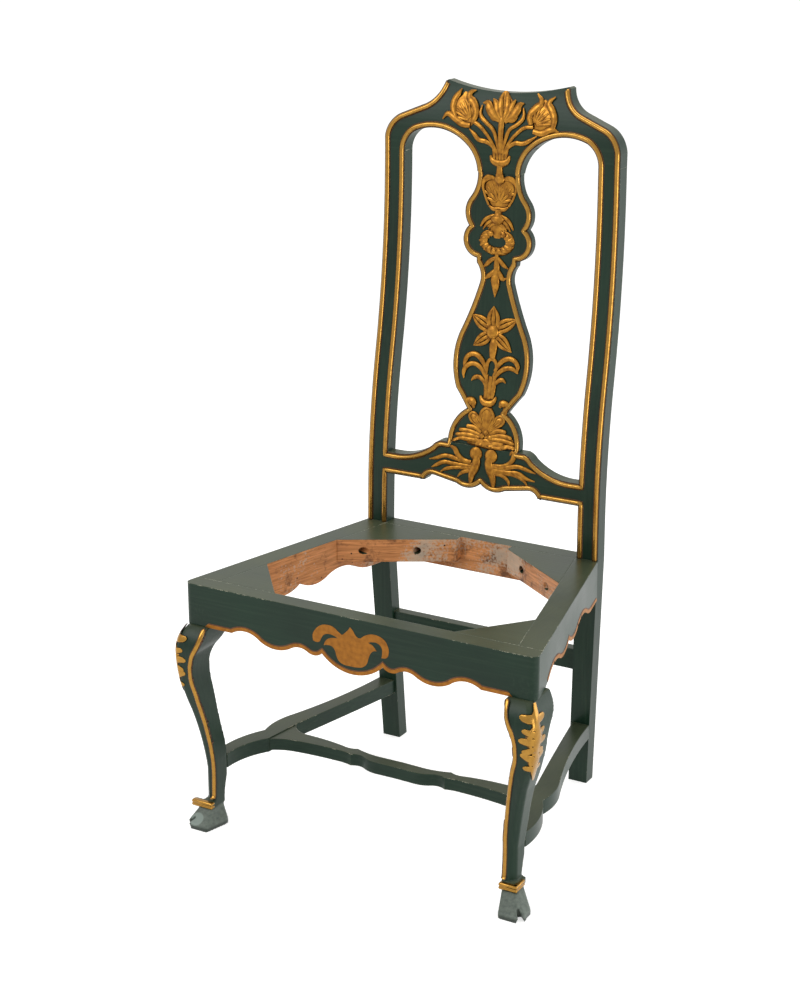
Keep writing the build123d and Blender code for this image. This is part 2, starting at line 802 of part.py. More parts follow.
def front_leg(label, band_out, shift_x, shift_y):
    """A right front leg. Its band and the place of its sole differ, as no two were carved alike."""
    with BuildPart() as leg:
        with BuildSketch(side):
            with BuildLine():
                arcs(*[(-front_out, z) for z, front_out, side_out in leg_curve])
                Polyline(
                    (0, leg_curve[-1][0]),
                    (0, leg_z(0.123)),
                    (-2, band_low),
                    (ankle_y + 10, band_low),
                    (ankle_y + 10, band_high),
                    (ankle_y + 14, leg_z(0.067)),
                    (stretcher_seat_y, leg_z(0.116)),
                    (stretcher_seat_y, leg_z(0.317)),
                )
                arcs(
                    (stretcher_seat_y, leg_z(0.317)),
                    (stretcher_seat_y - 4.5, leg_z(0.429)),
                    (stretcher_seat_y - 6, leg_z(0.552)),
                )
                Line((stretcher_seat_y - 6, leg_z(0.552)), (stretcher_seat_y - 5, leg_z(0.757)))
                arcs(
                    (stretcher_seat_y - 5, leg_z(0.757)),
                    (stretcher_seat_y - 2.5, leg_z(0.828)),
                    (leg_top_depth - 14, leg_z(0.873)),
                    (leg_top_depth - 3, leg_z(0.93)),
                    (leg_top_depth, rail_low),
                )
                Line((leg_top_depth, rail_low), (-leg_curve[0][1], rail_low))
            make_face()
        extrude(amount=reach)
        with BuildSketch(front.offset(-reach)):
            with BuildLine():
                top_outer = half_front - leg_top_in
                top_inner = top_outer - leg_top_width
                arcs(*[(side_out, z) for z, front_out, side_out in leg_curve])
                Polyline(
                    (ankle_outer, leg_curve[-1][0]),
                    (ankle_outer, band_low),
                    (ankle_inner, band_low),
                    (ankle_inner, leg_z(0.235)),
                )
                arcs(
                    (ankle_inner, leg_z(0.235)),
                    (ankle_inner + 6.5, leg_z(0.44)),
                    (knee_x - 35, leg_z(0.646)),
                    (knee_x - 31, leg_z(0.78)),
                    (knee_x - 37, leg_z(0.866)),
                    (knee_x - 45, leg_z(0.925)),
                    (top_inner, rail_low),
                )
                Line((top_inner, rail_low), (top_outer, rail_low))
            make_face()
        extrude(amount=2 * reach, mode=Mode.INTERSECT)

        # The outer front corner is taken off along the whole curve
        with BuildSketch(corner_view):
            with BuildLine():
                corner = [
                    ((front_out + side_out) / sqrt(2) - corner_cut, z) for z, front_out, side_out in leg_curve
                ]
                arcs(*corner)
                Polyline(corner[-1], (corner[-1][0], band_low), (0, band_low), (0, rail_low), corner[0])
            make_face()
        extrude(amount=reach, both=True, mode=Mode.INTERSECT)

        with Locations((leg_dowel_x, front_y + leg_dowel_y, rail_low)):
            Cylinder(leg_dowel_radius, leg_dowel_length, align=standing)
        block_between(*side_stretcher_front_tenon, grow=fit, mode=Mode.SUBTRACT)

        # Ankle band
        with BuildSketch(plan.offset(band_low)):
            with Locations((ankle_x + band_out, ankle_y - band_out)):
                RectangleRounded(ankle_width + 2 * band_out, ankle_depth + band_out, band_out / 2)
        extrude(amount=band_high - band_low)

        # Hoof: flares from the ankle to a broad sole that points to the chair's corner
        toe_x = half_front + hoof_out + shift_x
        toe_y = -hoof_toe + shift_y
        sole = (
            (ankle_inner + shift_x, ankle_y + 3),
            (toe_x - hoof_width, toe_y),
            (toe_x, toe_y),
            (toe_x - 3, toe_y + hoof_width - 3),
        )
        coronet = (
            (ankle_inner + 1, ankle_y + 10),
            (ankle_inner + 1, -6),
            (ankle_outer + 6, -8),
            (ankle_outer + 5, ankle_y + 8),
        )
        extrude(rounded_outline(plan, sole), amount=hoof_edge)
        loft([rounded_outline(plan.offset(hoof_edge), sole), rounded_outline(plan.offset(band_low), coronet)])

        # Cleft between the two toes
        toe_corner = Plane(
            origin=(toe_x + 4, front_y + toe_y - 4, 0),
            x_dir=(1, 1, 0),
            z_dir=(1, -1, 0),
        )
        with BuildSketch(toe_corner):
            Polygon((-cleft_width / 2, -1), (cleft_width / 2, -1), (0, cleft_height), align=None)
        extrude(amount=-cleft_reach, mode=Mode.SUBTRACT)
    leg.part.label = label
    return leg


front_leg_right = front_leg("front_leg_right", band_out_right, 0, 0)
left_leg_twin = front_leg("left_leg_twin", band_out_left, -15, 4)
with BuildPart() as front_leg_left:
    add(mirrored(left_leg_twin.part))
front_leg_left.part.label = "front_leg_left"

# ---------------------------------------------------------------- stretchers
with BuildPart() as side_stretcher_right:
    with BuildSketch(plan.offset(side_stretcher_low)):
        with BuildLine():
            outer_start = (ankle_outer, stretcher_seat_y)
            inner_start = (ankle_inner, stretcher_seat_y)
            outer_end = (post_outer_floor + 3, post_back)
            inner_end = (post_inner_floor + 5, post_back)
            arcs(
                outer_start,
                under_rail(11, cross_y - 49),
                under_rail(19, cross_y),
                under_rail(10.4, cross_y + 25),
                under_rail(8.3, cross_y + 61),
                under_rail(14, (cross_y + post_back) / 2),
                outer_end,
            )
            arcs(inner_start, under_rail(34.7, cross_y - 61), cross_joint_front)
            Line(cross_joint_front, cross_joint_rear)
            arcs(cross_joint_rear, under_rail(38, (cross_y + post_back) / 2), inner_end)
            Line(outer_start, inner_start)
            Line(outer_end, inner_end)
        make_face()
    extrude(amount=side_stretcher_high - side_stretcher_low)
    with BuildSketch(side):
        Polygon(
            (0, side_stretcher_low),
            (post_face(side_stretcher_low), side_stretcher_low),
            (post_face(side_stretcher_high), side_stretcher_high),
            (0, side_stretcher_high),
            align=None,
        )
    extrude(amount=reach, mode=Mode.INTERSECT)
    block_between(*side_stretcher_front_tenon)
    block_between(*side_stretcher_rear_tenon)
    block_between(*cross_tenon, grow=fit, mode=Mode.SUBTRACT)
side_stretcher_right.part.label = "side_stretcher_right"

with BuildPart() as side_stretcher_left:
    add(mirrored(side_stretcher_right.part))
side_stretcher_left.part.label = "side_stretcher_left"


def cross_point(share, rise):
    """A point of the cross stretcher's outline: share of its half length, and distance behind its line."""
    return (cross_joint_rear[0] * share, cross_y + rise)


with BuildPart() as cross_stretcher:
    half_thickness = cross_thickness / 2
    with BuildSketch(plan.offset(cross_low)):
        with BuildLine():
            Line(cross_point(0, half_thickness), cross_point(0.17, half_thickness - 1))
            arcs(
                cross_point(0.17, half_thickness - 1),
                cross_point(0.29, half_thickness + 0.8),
                cross_point(cross_cusp_share, half_thickness + 6.3),
                cross_point(cross_cusp_share + 0.05, half_thickness + 2.9),
                cross_point(0.503, half_thickness + 4.4),
                cross_point(0.668, half_thickness + 9.2),
                cross_point(0.84, half_thickness + 10.5),
                cross_point(0.935, half_thickness + 16.2),
                cross_joint_rear,
            )
            Line(cross_point(0, -half_thickness), cross_point(0.15, -half_thickness - 0.7))
            arcs(
                cross_point(0.15, -half_thickness - 0.7),
                cross_point(0.22, -half_thickness + 0.8),
                cross_point(0.28, -half_thickness + 6.3),
                cross_point(0.33, -half_thickness + 8.8),
                cross_point(cross_cusp_share, -half_thickness + 4.8),
                cross_point(0.44, -half_thickness + 7.4),
                cross_point(0.52, -half_thickness + 8),
                cross_point(0.7, -half_thickness + 6.8),
                cross_point(0.865, -half_thickness + 3.3),
                cross_point(0.96, -half_thickness - 1.8),
                cross_joint_front,
            )
            Line(cross_joint_front, cross_joint_rear)
            mirror(about=Plane.YZ)
        make_face()
    extrude(amount=cross_high - cross_low)
    blocks_both_sides(*cross_tenon)
cross_stretcher.part.label = "cross_stretcher"

with BuildPart() as rear_stretcher:
    with BuildSketch(front.offset(-rear_stretcher_face - rear_stretcher_depth)):
        Polygon(
            (-post_inner(rear_stretcher_low), rear_stretcher_low),
            (post_inner(rear_stretcher_low), rear_stretcher_low),
            (post_inner(rear_stretcher_high), rear_stretcher_high),
            (-post_inner(rear_stretcher_high), rear_stretcher_high),
            align=None,
        )
    extrude(amount=rear_stretcher_depth)
    blocks_both_sides(*rear_stretcher_tenon)
rear_stretcher.part.label = "rear_stretcher"

# ---------------------------------------------------------------- export
pieces = [
    rear_post_right,
    rear_post_left,
    crest_rail,
    lower_back_rail,
    back_splat,
    seat_rail_front,
    seat_rail_rear,
    seat_rail_right,
    seat_rail_left,
    *corner_blocks,
    corner_block_screws,
    front_leg_right,
    front_leg_left,
    side_stretcher_right,
    side_stretcher_left,
    cross_stretcher,
    rear_stretcher,
]
for piece in pieces:
    export_step(piece.part, f"parts/{piece.part.label}.step")
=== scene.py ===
# %% [markdown]
# # A painted and gilded side chair
#
# This lesson dresses a joiner's model of a baroque side chair. The wooden pieces come from the packed
# model and stay where they are. We give them old green oil paint and bare wood, lay raised gilt beads
# along the back, and carve the gilded flowers. Lengths are in metres, but drawings are in millimetres. The
# floor is at zero, the front of the chair towards -Y and its right side, seen from the front, towards +X.

import json
from math import atan2, cos, pi, radians, sin, sqrt

import bpy
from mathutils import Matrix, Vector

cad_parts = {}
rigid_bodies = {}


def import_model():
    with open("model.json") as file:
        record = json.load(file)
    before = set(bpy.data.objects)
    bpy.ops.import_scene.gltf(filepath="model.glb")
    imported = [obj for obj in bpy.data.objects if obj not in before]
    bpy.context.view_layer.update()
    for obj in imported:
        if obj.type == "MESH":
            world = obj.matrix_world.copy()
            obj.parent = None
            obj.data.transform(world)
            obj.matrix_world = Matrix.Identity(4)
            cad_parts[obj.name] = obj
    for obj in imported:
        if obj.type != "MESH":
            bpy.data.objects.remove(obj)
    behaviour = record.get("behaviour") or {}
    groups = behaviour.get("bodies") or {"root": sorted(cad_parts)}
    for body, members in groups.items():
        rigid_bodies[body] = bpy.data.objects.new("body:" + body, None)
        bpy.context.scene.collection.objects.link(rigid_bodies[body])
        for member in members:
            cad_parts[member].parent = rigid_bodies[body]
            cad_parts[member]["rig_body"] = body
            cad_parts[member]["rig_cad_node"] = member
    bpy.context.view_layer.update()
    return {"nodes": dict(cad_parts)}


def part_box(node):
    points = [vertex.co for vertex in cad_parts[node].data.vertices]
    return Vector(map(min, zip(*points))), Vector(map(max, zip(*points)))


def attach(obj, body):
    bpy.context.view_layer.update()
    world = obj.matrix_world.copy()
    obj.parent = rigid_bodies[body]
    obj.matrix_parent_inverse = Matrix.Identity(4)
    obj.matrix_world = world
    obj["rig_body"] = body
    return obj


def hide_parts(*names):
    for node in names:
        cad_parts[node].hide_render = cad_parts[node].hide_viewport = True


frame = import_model()
wood = frame["nodes"]

# %% [markdown]
# ## A few habits of the workshop
#
# An operator acts on everything that is selected, so each step starts by selecting one object only. Faces,
# edges or points are then picked by a test of their place or direction. Picking is done in object mode,
# because a mesh's selection flags are read when edit mode opens.

# %% Selecting one thing at a time
square_on = 0.9  # a face looks along an axis if its normal has this much of it
hair = 0.0001  # places that are closer than a tenth of a millimetre are the same


def leave_edit():
    """Goes back to object mode, which also writes the edits into the mesh."""
    bpy.ops.object.mode_set(mode="OBJECT")


def only(*objects):
    """Selects these objects alone, in object mode. The first one is active."""
    if bpy.context.mode != "OBJECT":
        leave_edit()
    bpy.ops.object.select_all(action="DESELECT")
    for each in objects:
        each.select_set(True)
    bpy.context.view_layer.objects.active = objects[0]


def edit(obj):
    """Opens edit mode on one object, with all of it selected."""
    only(obj)
    bpy.ops.object.mode_set(mode="EDIT")
    bpy.ops.mesh.select_all(action="SELECT")


def pick(obj, kind, test):
    """Opens edit mode with only those faces, edges or vertices selected that pass the test."""
    edit(obj)
    bpy.ops.mesh.select_mode(type=kind)
    bpy.ops.mesh.select_all(action="DESELECT")
    leave_edit()
    mesh = obj.data
    for part in {"FACE": mesh.polygons, "EDGE": mesh.edges, "VERT": mesh.vertices}[kind]:
        part.select = test(part)
    bpy.ops.object.mode_set(mode="EDIT")


# %% Copies, modifiers and conversions
def copy_of(node, name):
    """A loose copy of a wooden piece, with its separate triangles merged, to take outlines from."""
    only(wood[node])
    bpy.ops.object.duplicate()
    twin = bpy.context.view_layer.objects.active
    twin.name = name
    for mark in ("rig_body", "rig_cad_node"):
        del twin[mark]
    bpy.ops.object.parent_clear(type="CLEAR_KEEP_TRANSFORM")
    edit(twin)
    bpy.ops.mesh.remove_doubles(threshold=0.00002)
    leave_edit()
    return twin


def work(obj, kind, **settings):
    """Adds a modifier with these settings and applies it."""
    modifier = obj.modifiers.new(kind, kind)
    for name, value in settings.items():
        setattr(modifier, name, value)
    only(obj)
    bpy.ops.object.modifier_apply(modifier=modifier.name)


def converted(obj, kind):
    """The same object as a curve or as a mesh."""
    only(obj)
    bpy.ops.object.convert(target=kind)
    return bpy.context.object


# %% [markdown]
# ## Camera, floor and light
#
# The chair stands on a pale floor under soft light. A large lamp high on the front left does most of the
# work. A low one on the right draws the bright streaks along the beads, and weak ones above and behind the
# chair give the sheen that satin paint has on its sides. The world is white where the camera or a
# reflection sees it, and a plain light grey for lighting, so a colour comes out about as it is written.
# The floor glows a little for the same rays, so it is white all over and still takes the soft shadow of
# the legs.

# %% Camera
camera_place = (1.29547, -2.33035, 1.35890)
camera_tilt, camera_turn = 71.62, 29.915  # degrees up from straight down, and round from the front
bpy.ops.object.camera_add(location=camera_place, rotation=(radians(camera_tilt), 0, radians(camera_turn)))
camera = bpy.context.object
camera.data.lens = 71.86
bpy.context.scene.camera = camera
bpy.context.scene.view_settings.view_transform = "Standard"
print("camera stands", round(camera.location.length, 2), "m from the middle of the floor")

# %% [markdown]
# ## Nodes, one to a line
#
# A finish is a graph of nodes. It could be clicked together, but nobody could read or repeat that. Plain
# code needs three or four lines for a node. So one small function adds a node, sets it and links its
# inputs, and every graph reads as a list from top to bottom. Colours are written as a screen shows them,
# and one function turns them into the linear numbers that Blender mixes and lights.

# %% Colours and material nodes
def tint(code):
    """An sRGB hex colour as the linear numbers that Blender's sockets take."""
    parts = [int(code[i : i + 2], 16) / 255 for i in (0, 2, 4)]
    return [p / 12.92 if p <= 0.04045 else ((p + 0.055) / 1.055) ** 2.4 for p in parts] + [1.0]


def feed(node, **inputs):
    """Sets or links inputs, by name or as _0 and _1 by number. A linked node gives its first live output."""
    live = [socket for socket in node.inputs if socket.enabled]
    for name, value in inputs.items():
        named = [socket for socket in live if socket.name == name.replace("_", " ")]
        socket = named[0] if named else live[int(name[1:])]
        if isinstance(value, bpy.types.Node):
            value = [out for out in value.outputs if out.enabled][0]
        if isinstance(value, bpy.types.NodeSocket):
            node.id_data.links.new(value, socket)
        else:
            socket.default_value = value


def add_node(tree, kind, **words):
    """Adds a node. Words in small letters are its own settings, and the others are its inputs."""
    node = tree.nodes.new("ShaderNode" + kind)
    for name in filter(str.islower, words):
        setattr(node, name, words[name])
    feed(node, **{name: value for name, value in words.items() if not name.islower()})
    return node


def new_finish(name, **inputs):
    """A material with its node tree and its Principled shader, which gets these inputs."""
    finish = bpy.data.materials.new(name)
    finish.use_nodes = True
    shader = finish.node_tree.nodes["Principled BSDF"]
    feed(shader, **inputs)
    return finish, finish.node_tree, shader


# %% Floor, world and lamps
bpy.ops.mesh.primitive_plane_add(size=60, location=(0, 0, 0))
floor = bpy.context.object
floor.name = "studio_floor"


def seen_directly(tree):
    """1 for rays from the camera, from a mirror or through glass, and 0 for rays that only light things."""
    path = add_node(tree, "LightPath").outputs
    seen = add_node(tree, "Math", operation="MAXIMUM", _0=path["Is Camera Ray"], _1=path["Is Glossy Ray"])
    return add_node(tree, "Math", operation="MAXIMUM", _0=seen, _1=path["Is Transmission Ray"])


floor_finish, tree, shader = new_finish("matt_white_floor", Roughness=0.9, Base_Color=tint("e6e6e4"),
                                        Emission_Color=tint("ffffff"))
feed(shader, Emission_Strength=add_node(tree, "Math", operation="MULTIPLY", _0=seen_directly(tree), _1=0.62))
floor.data.materials.append(floor_finish)

world = bpy.data.worlds.new("studio")
bpy.context.scene.world = world
world.use_nodes = True
tree = world.node_tree
strength = add_node(tree, "MapRange", Value=seen_directly(tree), To_Min=0.55)
feed(tree.nodes["Background"], Color=tint("ffffff"), Strength=strength)


def lamp(name, place, size, watts):
    """A square soft box that looks at the middle of the chair."""
    bpy.ops.object.light_add(type="AREA", location=place)
    soft_box = bpy.context.object
    soft_box.name = name
    soft_box.data.size = size
    soft_box.data.energy = watts
    x, y, z = place[0], place[1], place[2] - 0.5
    soft_box.rotation_euler = (atan2(sqrt(x * x + y * y), z), 0, atan2(y, x) + pi / 2)


lamp("key_box", (-1.6, -2.4, 2.6), 1.8, 42)
lamp("side_box", (2.5, -0.6, 0.6), 1.0, 18)
lamp("top_box", (0.2, 0.6, 3.0), 1.6, 22)
lamp("sheen_box", (2.6, 2.3, 0.8), 1.6, 20)

# %% [markdown]
# ## Old green oil paint
#
# The chair was brushed with a bottle-green oil paint over a pale ground. The paint is a satin dielectric
# whose surface has chalked a little, so its reflection is weaker than a new paint's. Four things make it
# look real. The green wanders a little over a hand's breadth. The brush leaves fine streaks along the wood.
# The faces that look up turn a paler olive: partly dust and yellowed varnish, partly a painted sheen such as
# top light gives them. And where hands and shoes rub the edges, the green is chipped and the pale ground
# shows. The Bevel node finds those edges: it gives a normal rounded over 2 mm, which differs from the true
# one only near an edge. As the shading normal it also takes the hard, computer-cut look off the corners.
# Where two pieces meet flush under one coat of paint, there is no real edge, so on the faces that look to a
# flush side, or away from it, it is left out, up to a given height.

# %% Green paint, with its worn edges
def green_paint(name, grain_axis, bare_side=None, bare_from=0.7, flush_side=None, flush_below=9.0,
                hoof_top=None, worn_toe=(0, 0, 0)):
    """Paint whose brush marks run along one axis. Faces that look towards bare_side are bare wood."""
    finish, tree, shader = new_finish(name, IOR=1.5, Specular_IOR_Level=0.22)
    place = add_node(tree, "TexCoord").outputs["Object"]
    stretch = [8.0 if axis == grain_axis else 260.0 for axis in "XYZ"]  # streaks 125 mm long, 4 mm wide
    along = add_node(tree, "Mapping", Vector=place, Scale=stretch)
    clouds = add_node(tree, "TexNoise", Vector=place, Scale=9.0, Detail=4.0)  # 110 mm
    streaks = add_node(tree, "TexNoise", Vector=along, Scale=1.0, Detail=3.0)
    speckle = add_node(tree, "TexNoise", Vector=place, Scale=170.0, Detail=5.0, Roughness=0.65)  # 6 mm
    true = add_node(tree, "NewGeometry").outputs["Normal"]
    height = add_node(tree, "SeparateXYZ", Vector=place).outputs["Z"]

    wander = add_node(tree, "MapRange", Value=clouds, From_Min=0.32, From_Max=0.72)
    green = add_node(tree, "Mix", data_type="RGBA", Factor=wander, A=tint("10261a"), B=tint("193123"))
    thin = add_node(tree, "MapRange", Value=streaks, From_Min=0.45, From_Max=0.85, To_Max=0.22)
    green = add_node(tree, "Mix", data_type="RGBA", Factor=thin, A=green, B=tint("3c4f3c"))
    # Faces that look up are mixed towards a pale olive: partly dust and yellowed varnish, partly a painted
    # sheen of top light.
    up = add_node(tree, "SeparateXYZ", Vector=true).outputs["Z"]
    dust_and_top_sheen = add_node(tree, "MapRange", Value=up, From_Min=0.5, From_Max=1.0)
    patchy_dust_and_sheen = add_node(tree, "MapRange", Value=clouds, From_Min=0.3, From_Max=0.65, To_Min=0.3, To_Max=0.7)
    dust_and_top_sheen = add_node(tree, "Math", operation="MULTIPLY", _0=dust_and_top_sheen, _1=patchy_dust_and_sheen)
    green = add_node(tree, "Mix", data_type="RGBA", Factor=dust_and_top_sheen, A=green, B=tint("565a42"))

    rounded = add_node(tree, "Bevel", samples=6, Radius=0.002)
    if flush_side:
        front = add_node(tree, "VectorMath", operation="ABSOLUTE", _0=true)
        front = add_node(tree, "VectorMath", operation="DOT_PRODUCT", _0=front, _1=flush_side)
        front = add_node(tree, "Math", operation="GREATER_THAN", _0=front, _1=0.6)
        low = add_node(tree, "Math", operation="LESS_THAN", _0=height, _1=flush_below)
        front = add_node(tree, "Math", operation="MULTIPLY", _0=front, _1=low)
        rounded = add_node(tree, "Mix", data_type="VECTOR", Factor=front, A=rounded, B=true)
    same = add_node(tree, "VectorMath", operation="DOT_PRODUCT", _0=rounded, _1=true)
    edge = add_node(tree, "MapRange", Value=same, From_Min=0.995, From_Max=0.86)
    rubbed = add_node(tree, "MapRange", Value=speckle, From_Min=0.47, From_Max=0.58)
    patchy = add_node(tree, "MapRange", Value=clouds, From_Min=0.44, From_Max=0.56)
    rubbed = add_node(tree, "Math", operation="MULTIPLY", _0=rubbed, _1=patchy)
    rubbed = add_node(tree, "Math", operation="MULTIPLY", _0=rubbed, _1=edge)
    chip = add_node(tree, "MapRange", Value=rubbed, From_Min=0.35, From_Max=0.6)
    green = add_node(tree, "Mix", data_type="RGBA", Factor=chip, A=green, B=tint("c4bfa8"))
    worn = add_node(tree, "Math", operation="MULTIPLY", _0=edge, _1=0.3)
    green = add_node(tree, "Mix", data_type="RGBA", Factor=worn, A=green, B=tint("5c6a55"))

    if hoof_top:  # below it the leg is horn grey, with a dark sole and one toe rubbed pale
        soft = 0.002
        horn = add_node(tree, "MapRange", Value=height, From_Min=hoof_top + soft, From_Max=hoof_top - soft)
        mottle = add_node(tree, "MapRange", Value=speckle, From_Min=0.3, From_Max=0.65)
        tone = add_node(tree, "Mix", data_type="RGBA", Factor=mottle, A=tint("545d56"), B=tint("6f786f"))
        sole = add_node(tree, "MapRange", Value=height, From_Min=0.007, From_Max=0.004, To_Max=0.7)
        tone = add_node(tree, "Mix", data_type="RGBA", Factor=sole, A=tone, B=tint("262e29"))
        rub = add_node(tree, "VectorMath", operation="DISTANCE", _0=place, _1=worn_toe)
        rub = add_node(tree, "MapRange", Value=rub, From_Min=0.0115, From_Max=0.0095, To_Max=0.85)
        tone = add_node(tree, "Mix", data_type="RGBA", Factor=rub, A=tone, B=tint("8d9a92"))
        green = add_node(tree, "Mix", data_type="RGBA", Factor=horn, A=green, B=tone)

    if bare_side:
        bare = add_node(tree, "VectorMath", operation="DOT_PRODUCT", _0=true, _1=bare_side)
        bare = add_node(tree, "Math", operation="GREATER_THAN", _0=bare, _1=bare_from)
        wood_tone = bare_wood_colour(tree, place)
        green = add_node(tree, "Mix", data_type="RGBA", Factor=bare, A=green, B=wood_tone)

    rough = add_node(tree, "MapRange", Value=clouds, From_Min=0.3, From_Max=0.7, To_Min=0.3, To_Max=0.42)
    relief = add_node(tree, "Math", operation="MULTIPLY_ADD", _0=speckle, _1=0.35, _2=streaks)
    bump = add_node(tree, "Bump", Strength=0.3, Distance=0.0004, Height=relief, Normal=rounded)
    feed(shader, Base_Color=green, Roughness=rough, Normal=bump)
    return finish


# %% [markdown]
# ## Bare wood inside the frame
#
# The inner faces of the seat frame and its corner blocks were never painted. They are old sawn softwood,
# honey brown, with grain lines 2 to 3 mm apart, dark stains, a pale crust of old glue here and there, and
# the round holes of woodworm, 1.5 mm wide.

# %% Bare wood
def bare_wood_colour(tree, place):
    """Colour of old sawn softwood with worm holes, for the given coordinates."""
    along = add_node(tree, "Mapping", Vector=place, Scale=[12.0, 12.0, 160.0])
    grain = add_node(tree, "TexNoise", Vector=along, Scale=2.4, Detail=6.0, Distortion=0.6)
    grain = add_node(tree, "MapRange", Value=grain, From_Min=0.3, From_Max=0.7)
    tone = add_node(tree, "Mix", data_type="RGBA", Factor=grain, A=tint("9c6438"), B=tint("d6925a"))
    stains = add_node(tree, "TexNoise", Vector=place, Scale=34.0, Detail=5.0, Roughness=0.7)
    stains = add_node(tree, "MapRange", Value=stains, From_Min=0.52, From_Max=0.66, To_Max=0.85)
    tone = add_node(tree, "Mix", data_type="RGBA", Factor=stains, A=tone, B=tint("4c2f1e"))
    glue = add_node(tree, "TexNoise", Vector=place, Scale=260.0, Detail=4.0)  # 4 mm
    patches = add_node(tree, "TexNoise", Vector=place, Scale=11.0, Detail=2.0)
    crust = add_node(tree, "Math", operation="MULTIPLY_ADD", _0=glue, _1=0.5, _2=patches)
    crust = add_node(tree, "MapRange", Value=crust, From_Min=0.78, From_Max=0.88, To_Max=0.7)
    tone = add_node(tree, "Mix", data_type="RGBA", Factor=crust, A=tone, B=tint("b9aa96"))
    holes = add_node(tree, "TexVoronoi", Vector=place, Scale=75.0)  # one possible hole per 13 mm
    hole = add_node(tree, "MapRange", Value=holes, From_Min=0.13, From_Max=0.09)
    some = add_node(tree, "SeparateColor", Color=holes.outputs["Color"])
    some = add_node(tree, "Math", operation="GREATER_THAN", _0=some, _1=0.62)
    hole = add_node(tree, "Math", operation="MULTIPLY", _0=hole, _1=some)
    return add_node(tree, "Mix", data_type="RGBA", Factor=hole, A=tone, B=tint("2c1a10"))


# %% [markdown]
# ## Gilding
#
# The ornament is gilded and toned. Bright metal shows on the crests of the carving. In its hollows, which the
# Ambient Occlusion node finds with a reach of 4 mm, the gold turns dark red-brown: partly the ground showing,
# partly painted shade. The toning varnish dulls the metal, so the finishes are only partly metallic. The
# beads
# were burnished with a stone: they are even, and so smooth that they catch the light in white streaks. The
# carving is rougher and more mottled.
# The flat ornament of the seat frame is bronze powder in oil, brown and dull. Red-brown bole is the clay
# that gilders lay under the gold, and it is hardly metallic.

# %% Gold leaf
def gilding(name, bright, dull, metal, smooth, mottle, ground_and_shade="43230c"):
    """A gold, from bright to dull. Smooth is its lowest roughness, mottle how strongly it varies."""
    finish, tree, shader = new_finish(name, Metallic=metal)
    place = add_node(tree, "TexCoord").outputs["Object"]
    rub = add_node(tree, "TexNoise", Vector=place, Scale=140.0, Detail=4.0)  # 7 mm
    tone = add_node(tree, "MapRange", Value=rub, From_Min=0.35, From_Max=0.7, To_Max=mottle)
    gold = add_node(tree, "Mix", data_type="RGBA", Factor=tone, A=tint(bright), B=tint(dull))
    # In the hollows the gold is darkened towards the ground colour: partly the red-brown ground, partly
    # painted shade.
    open_sky = add_node(tree, "AmbientOcclusion", samples=8, Distance=0.004).outputs["AO"]
    hollow_shade = add_node(tree, "MapRange", Value=open_sky, From_Min=0.95, From_Max=0.5)
    gold = add_node(tree, "Mix", data_type="RGBA", Factor=hollow_shade, A=gold, B=tint(ground_and_shade))
    rough = add_node(tree, "MapRange", Value=rub, From_Min=0.3, From_Max=0.7, To_Min=smooth,
                     To_Max=smooth + 0.2)
    bump = add_node(tree, "Bump", Strength=0.4 * mottle, Distance=0.0004, Height=rub)
    feed(shader, Base_Color=gold, Roughness=rough, Normal=bump)
    return finish


gold_leaf = gilding("toned_gold_leaf", "b07a2a", "7c501a", 0.85, 0.26, 1.0)
burnished_gold = gilding("burnished_gold_leaf", "a67b34", "7f5a26", 0.85, 0.1, 0.4)
bronze_paint = gilding("bronze_gold_paint", "a06410", "855210", 0.5, 0.45, 0.8)
red_bole = gilding("red_brown_bole", "633a1a", "4a2a12", 0.1, 0.5, 0.6, "2a170a")
print("gilding ready:", [f.name for f in (gold_leaf, burnished_gold, bronze_paint, red_bole)])

# %% [markdown]
# ## Which piece gets which finish
#
# A painter brushes along the grain, so the pieces are sorted by the way their grain runs. The pieces of the
# back lie flush, and so do the seat rails and the legs, so a joint there must not look like a worn edge.
# The seat rails are bare on the inside, and the corner blocks are painted on top only.

# %% Give every wooden piece its finish
seat_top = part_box("seat_rail_front")[1].z
finishes = {
    "corner_block_screws": new_finish("old_iron", Metallic=1.0, Roughness=0.6, Base_Color=tint("2b2622"))[0],
    "seat_rail_rear": green_paint("paint_with_bare_front", "X", (0, -1, 0)),
}
for node, grain_axis, bare_side in (("seat_rail_front", "X", (0, 1, 0)), ("seat_rail_left", "Y", (1, 0, 0)),
                                    ("seat_rail_right", "Y", (-1, 0, 0))):
    finishes[node] = green_paint("paint_of_" + node, grain_axis, bare_side, flush_side=(0.7, 0.7, 0),
                                 flush_below=seat_top - 0.004)
for word, grain_axis, flush_side, names in (
        ("back_posts", "Z", (0, 1, 0), ("rear_post_left", "rear_post_right", "back_splat")),
        ("back_rails", "X", (0, 1, 0), ("crest_rail", "lower_back_rail")),
        ("deep", "Y", None, ("side_stretcher_left", "side_stretcher_right")),
        ("level", "X", None, ("cross_stretcher", "rear_stretcher"))):
    finish = green_paint("green_oil_paint_" + word, grain_axis, flush_side=flush_side)
    finishes.update(dict.fromkeys(names, finish))
upright_paint = green_paint("green_oil_paint_upright", "Z")
block_paint = green_paint("paint_on_the_top_only", "X", (0, 0, -1), bare_from=-0.7)
for name, piece in wood.items():
    piece.data.materials.clear()
    finish = block_paint if name.startswith("corner_block_") else upright_paint
    piece.data.materials.append(finishes.get(name, finish))
    print(name, "is finished in", piece.data.materials[0].name)

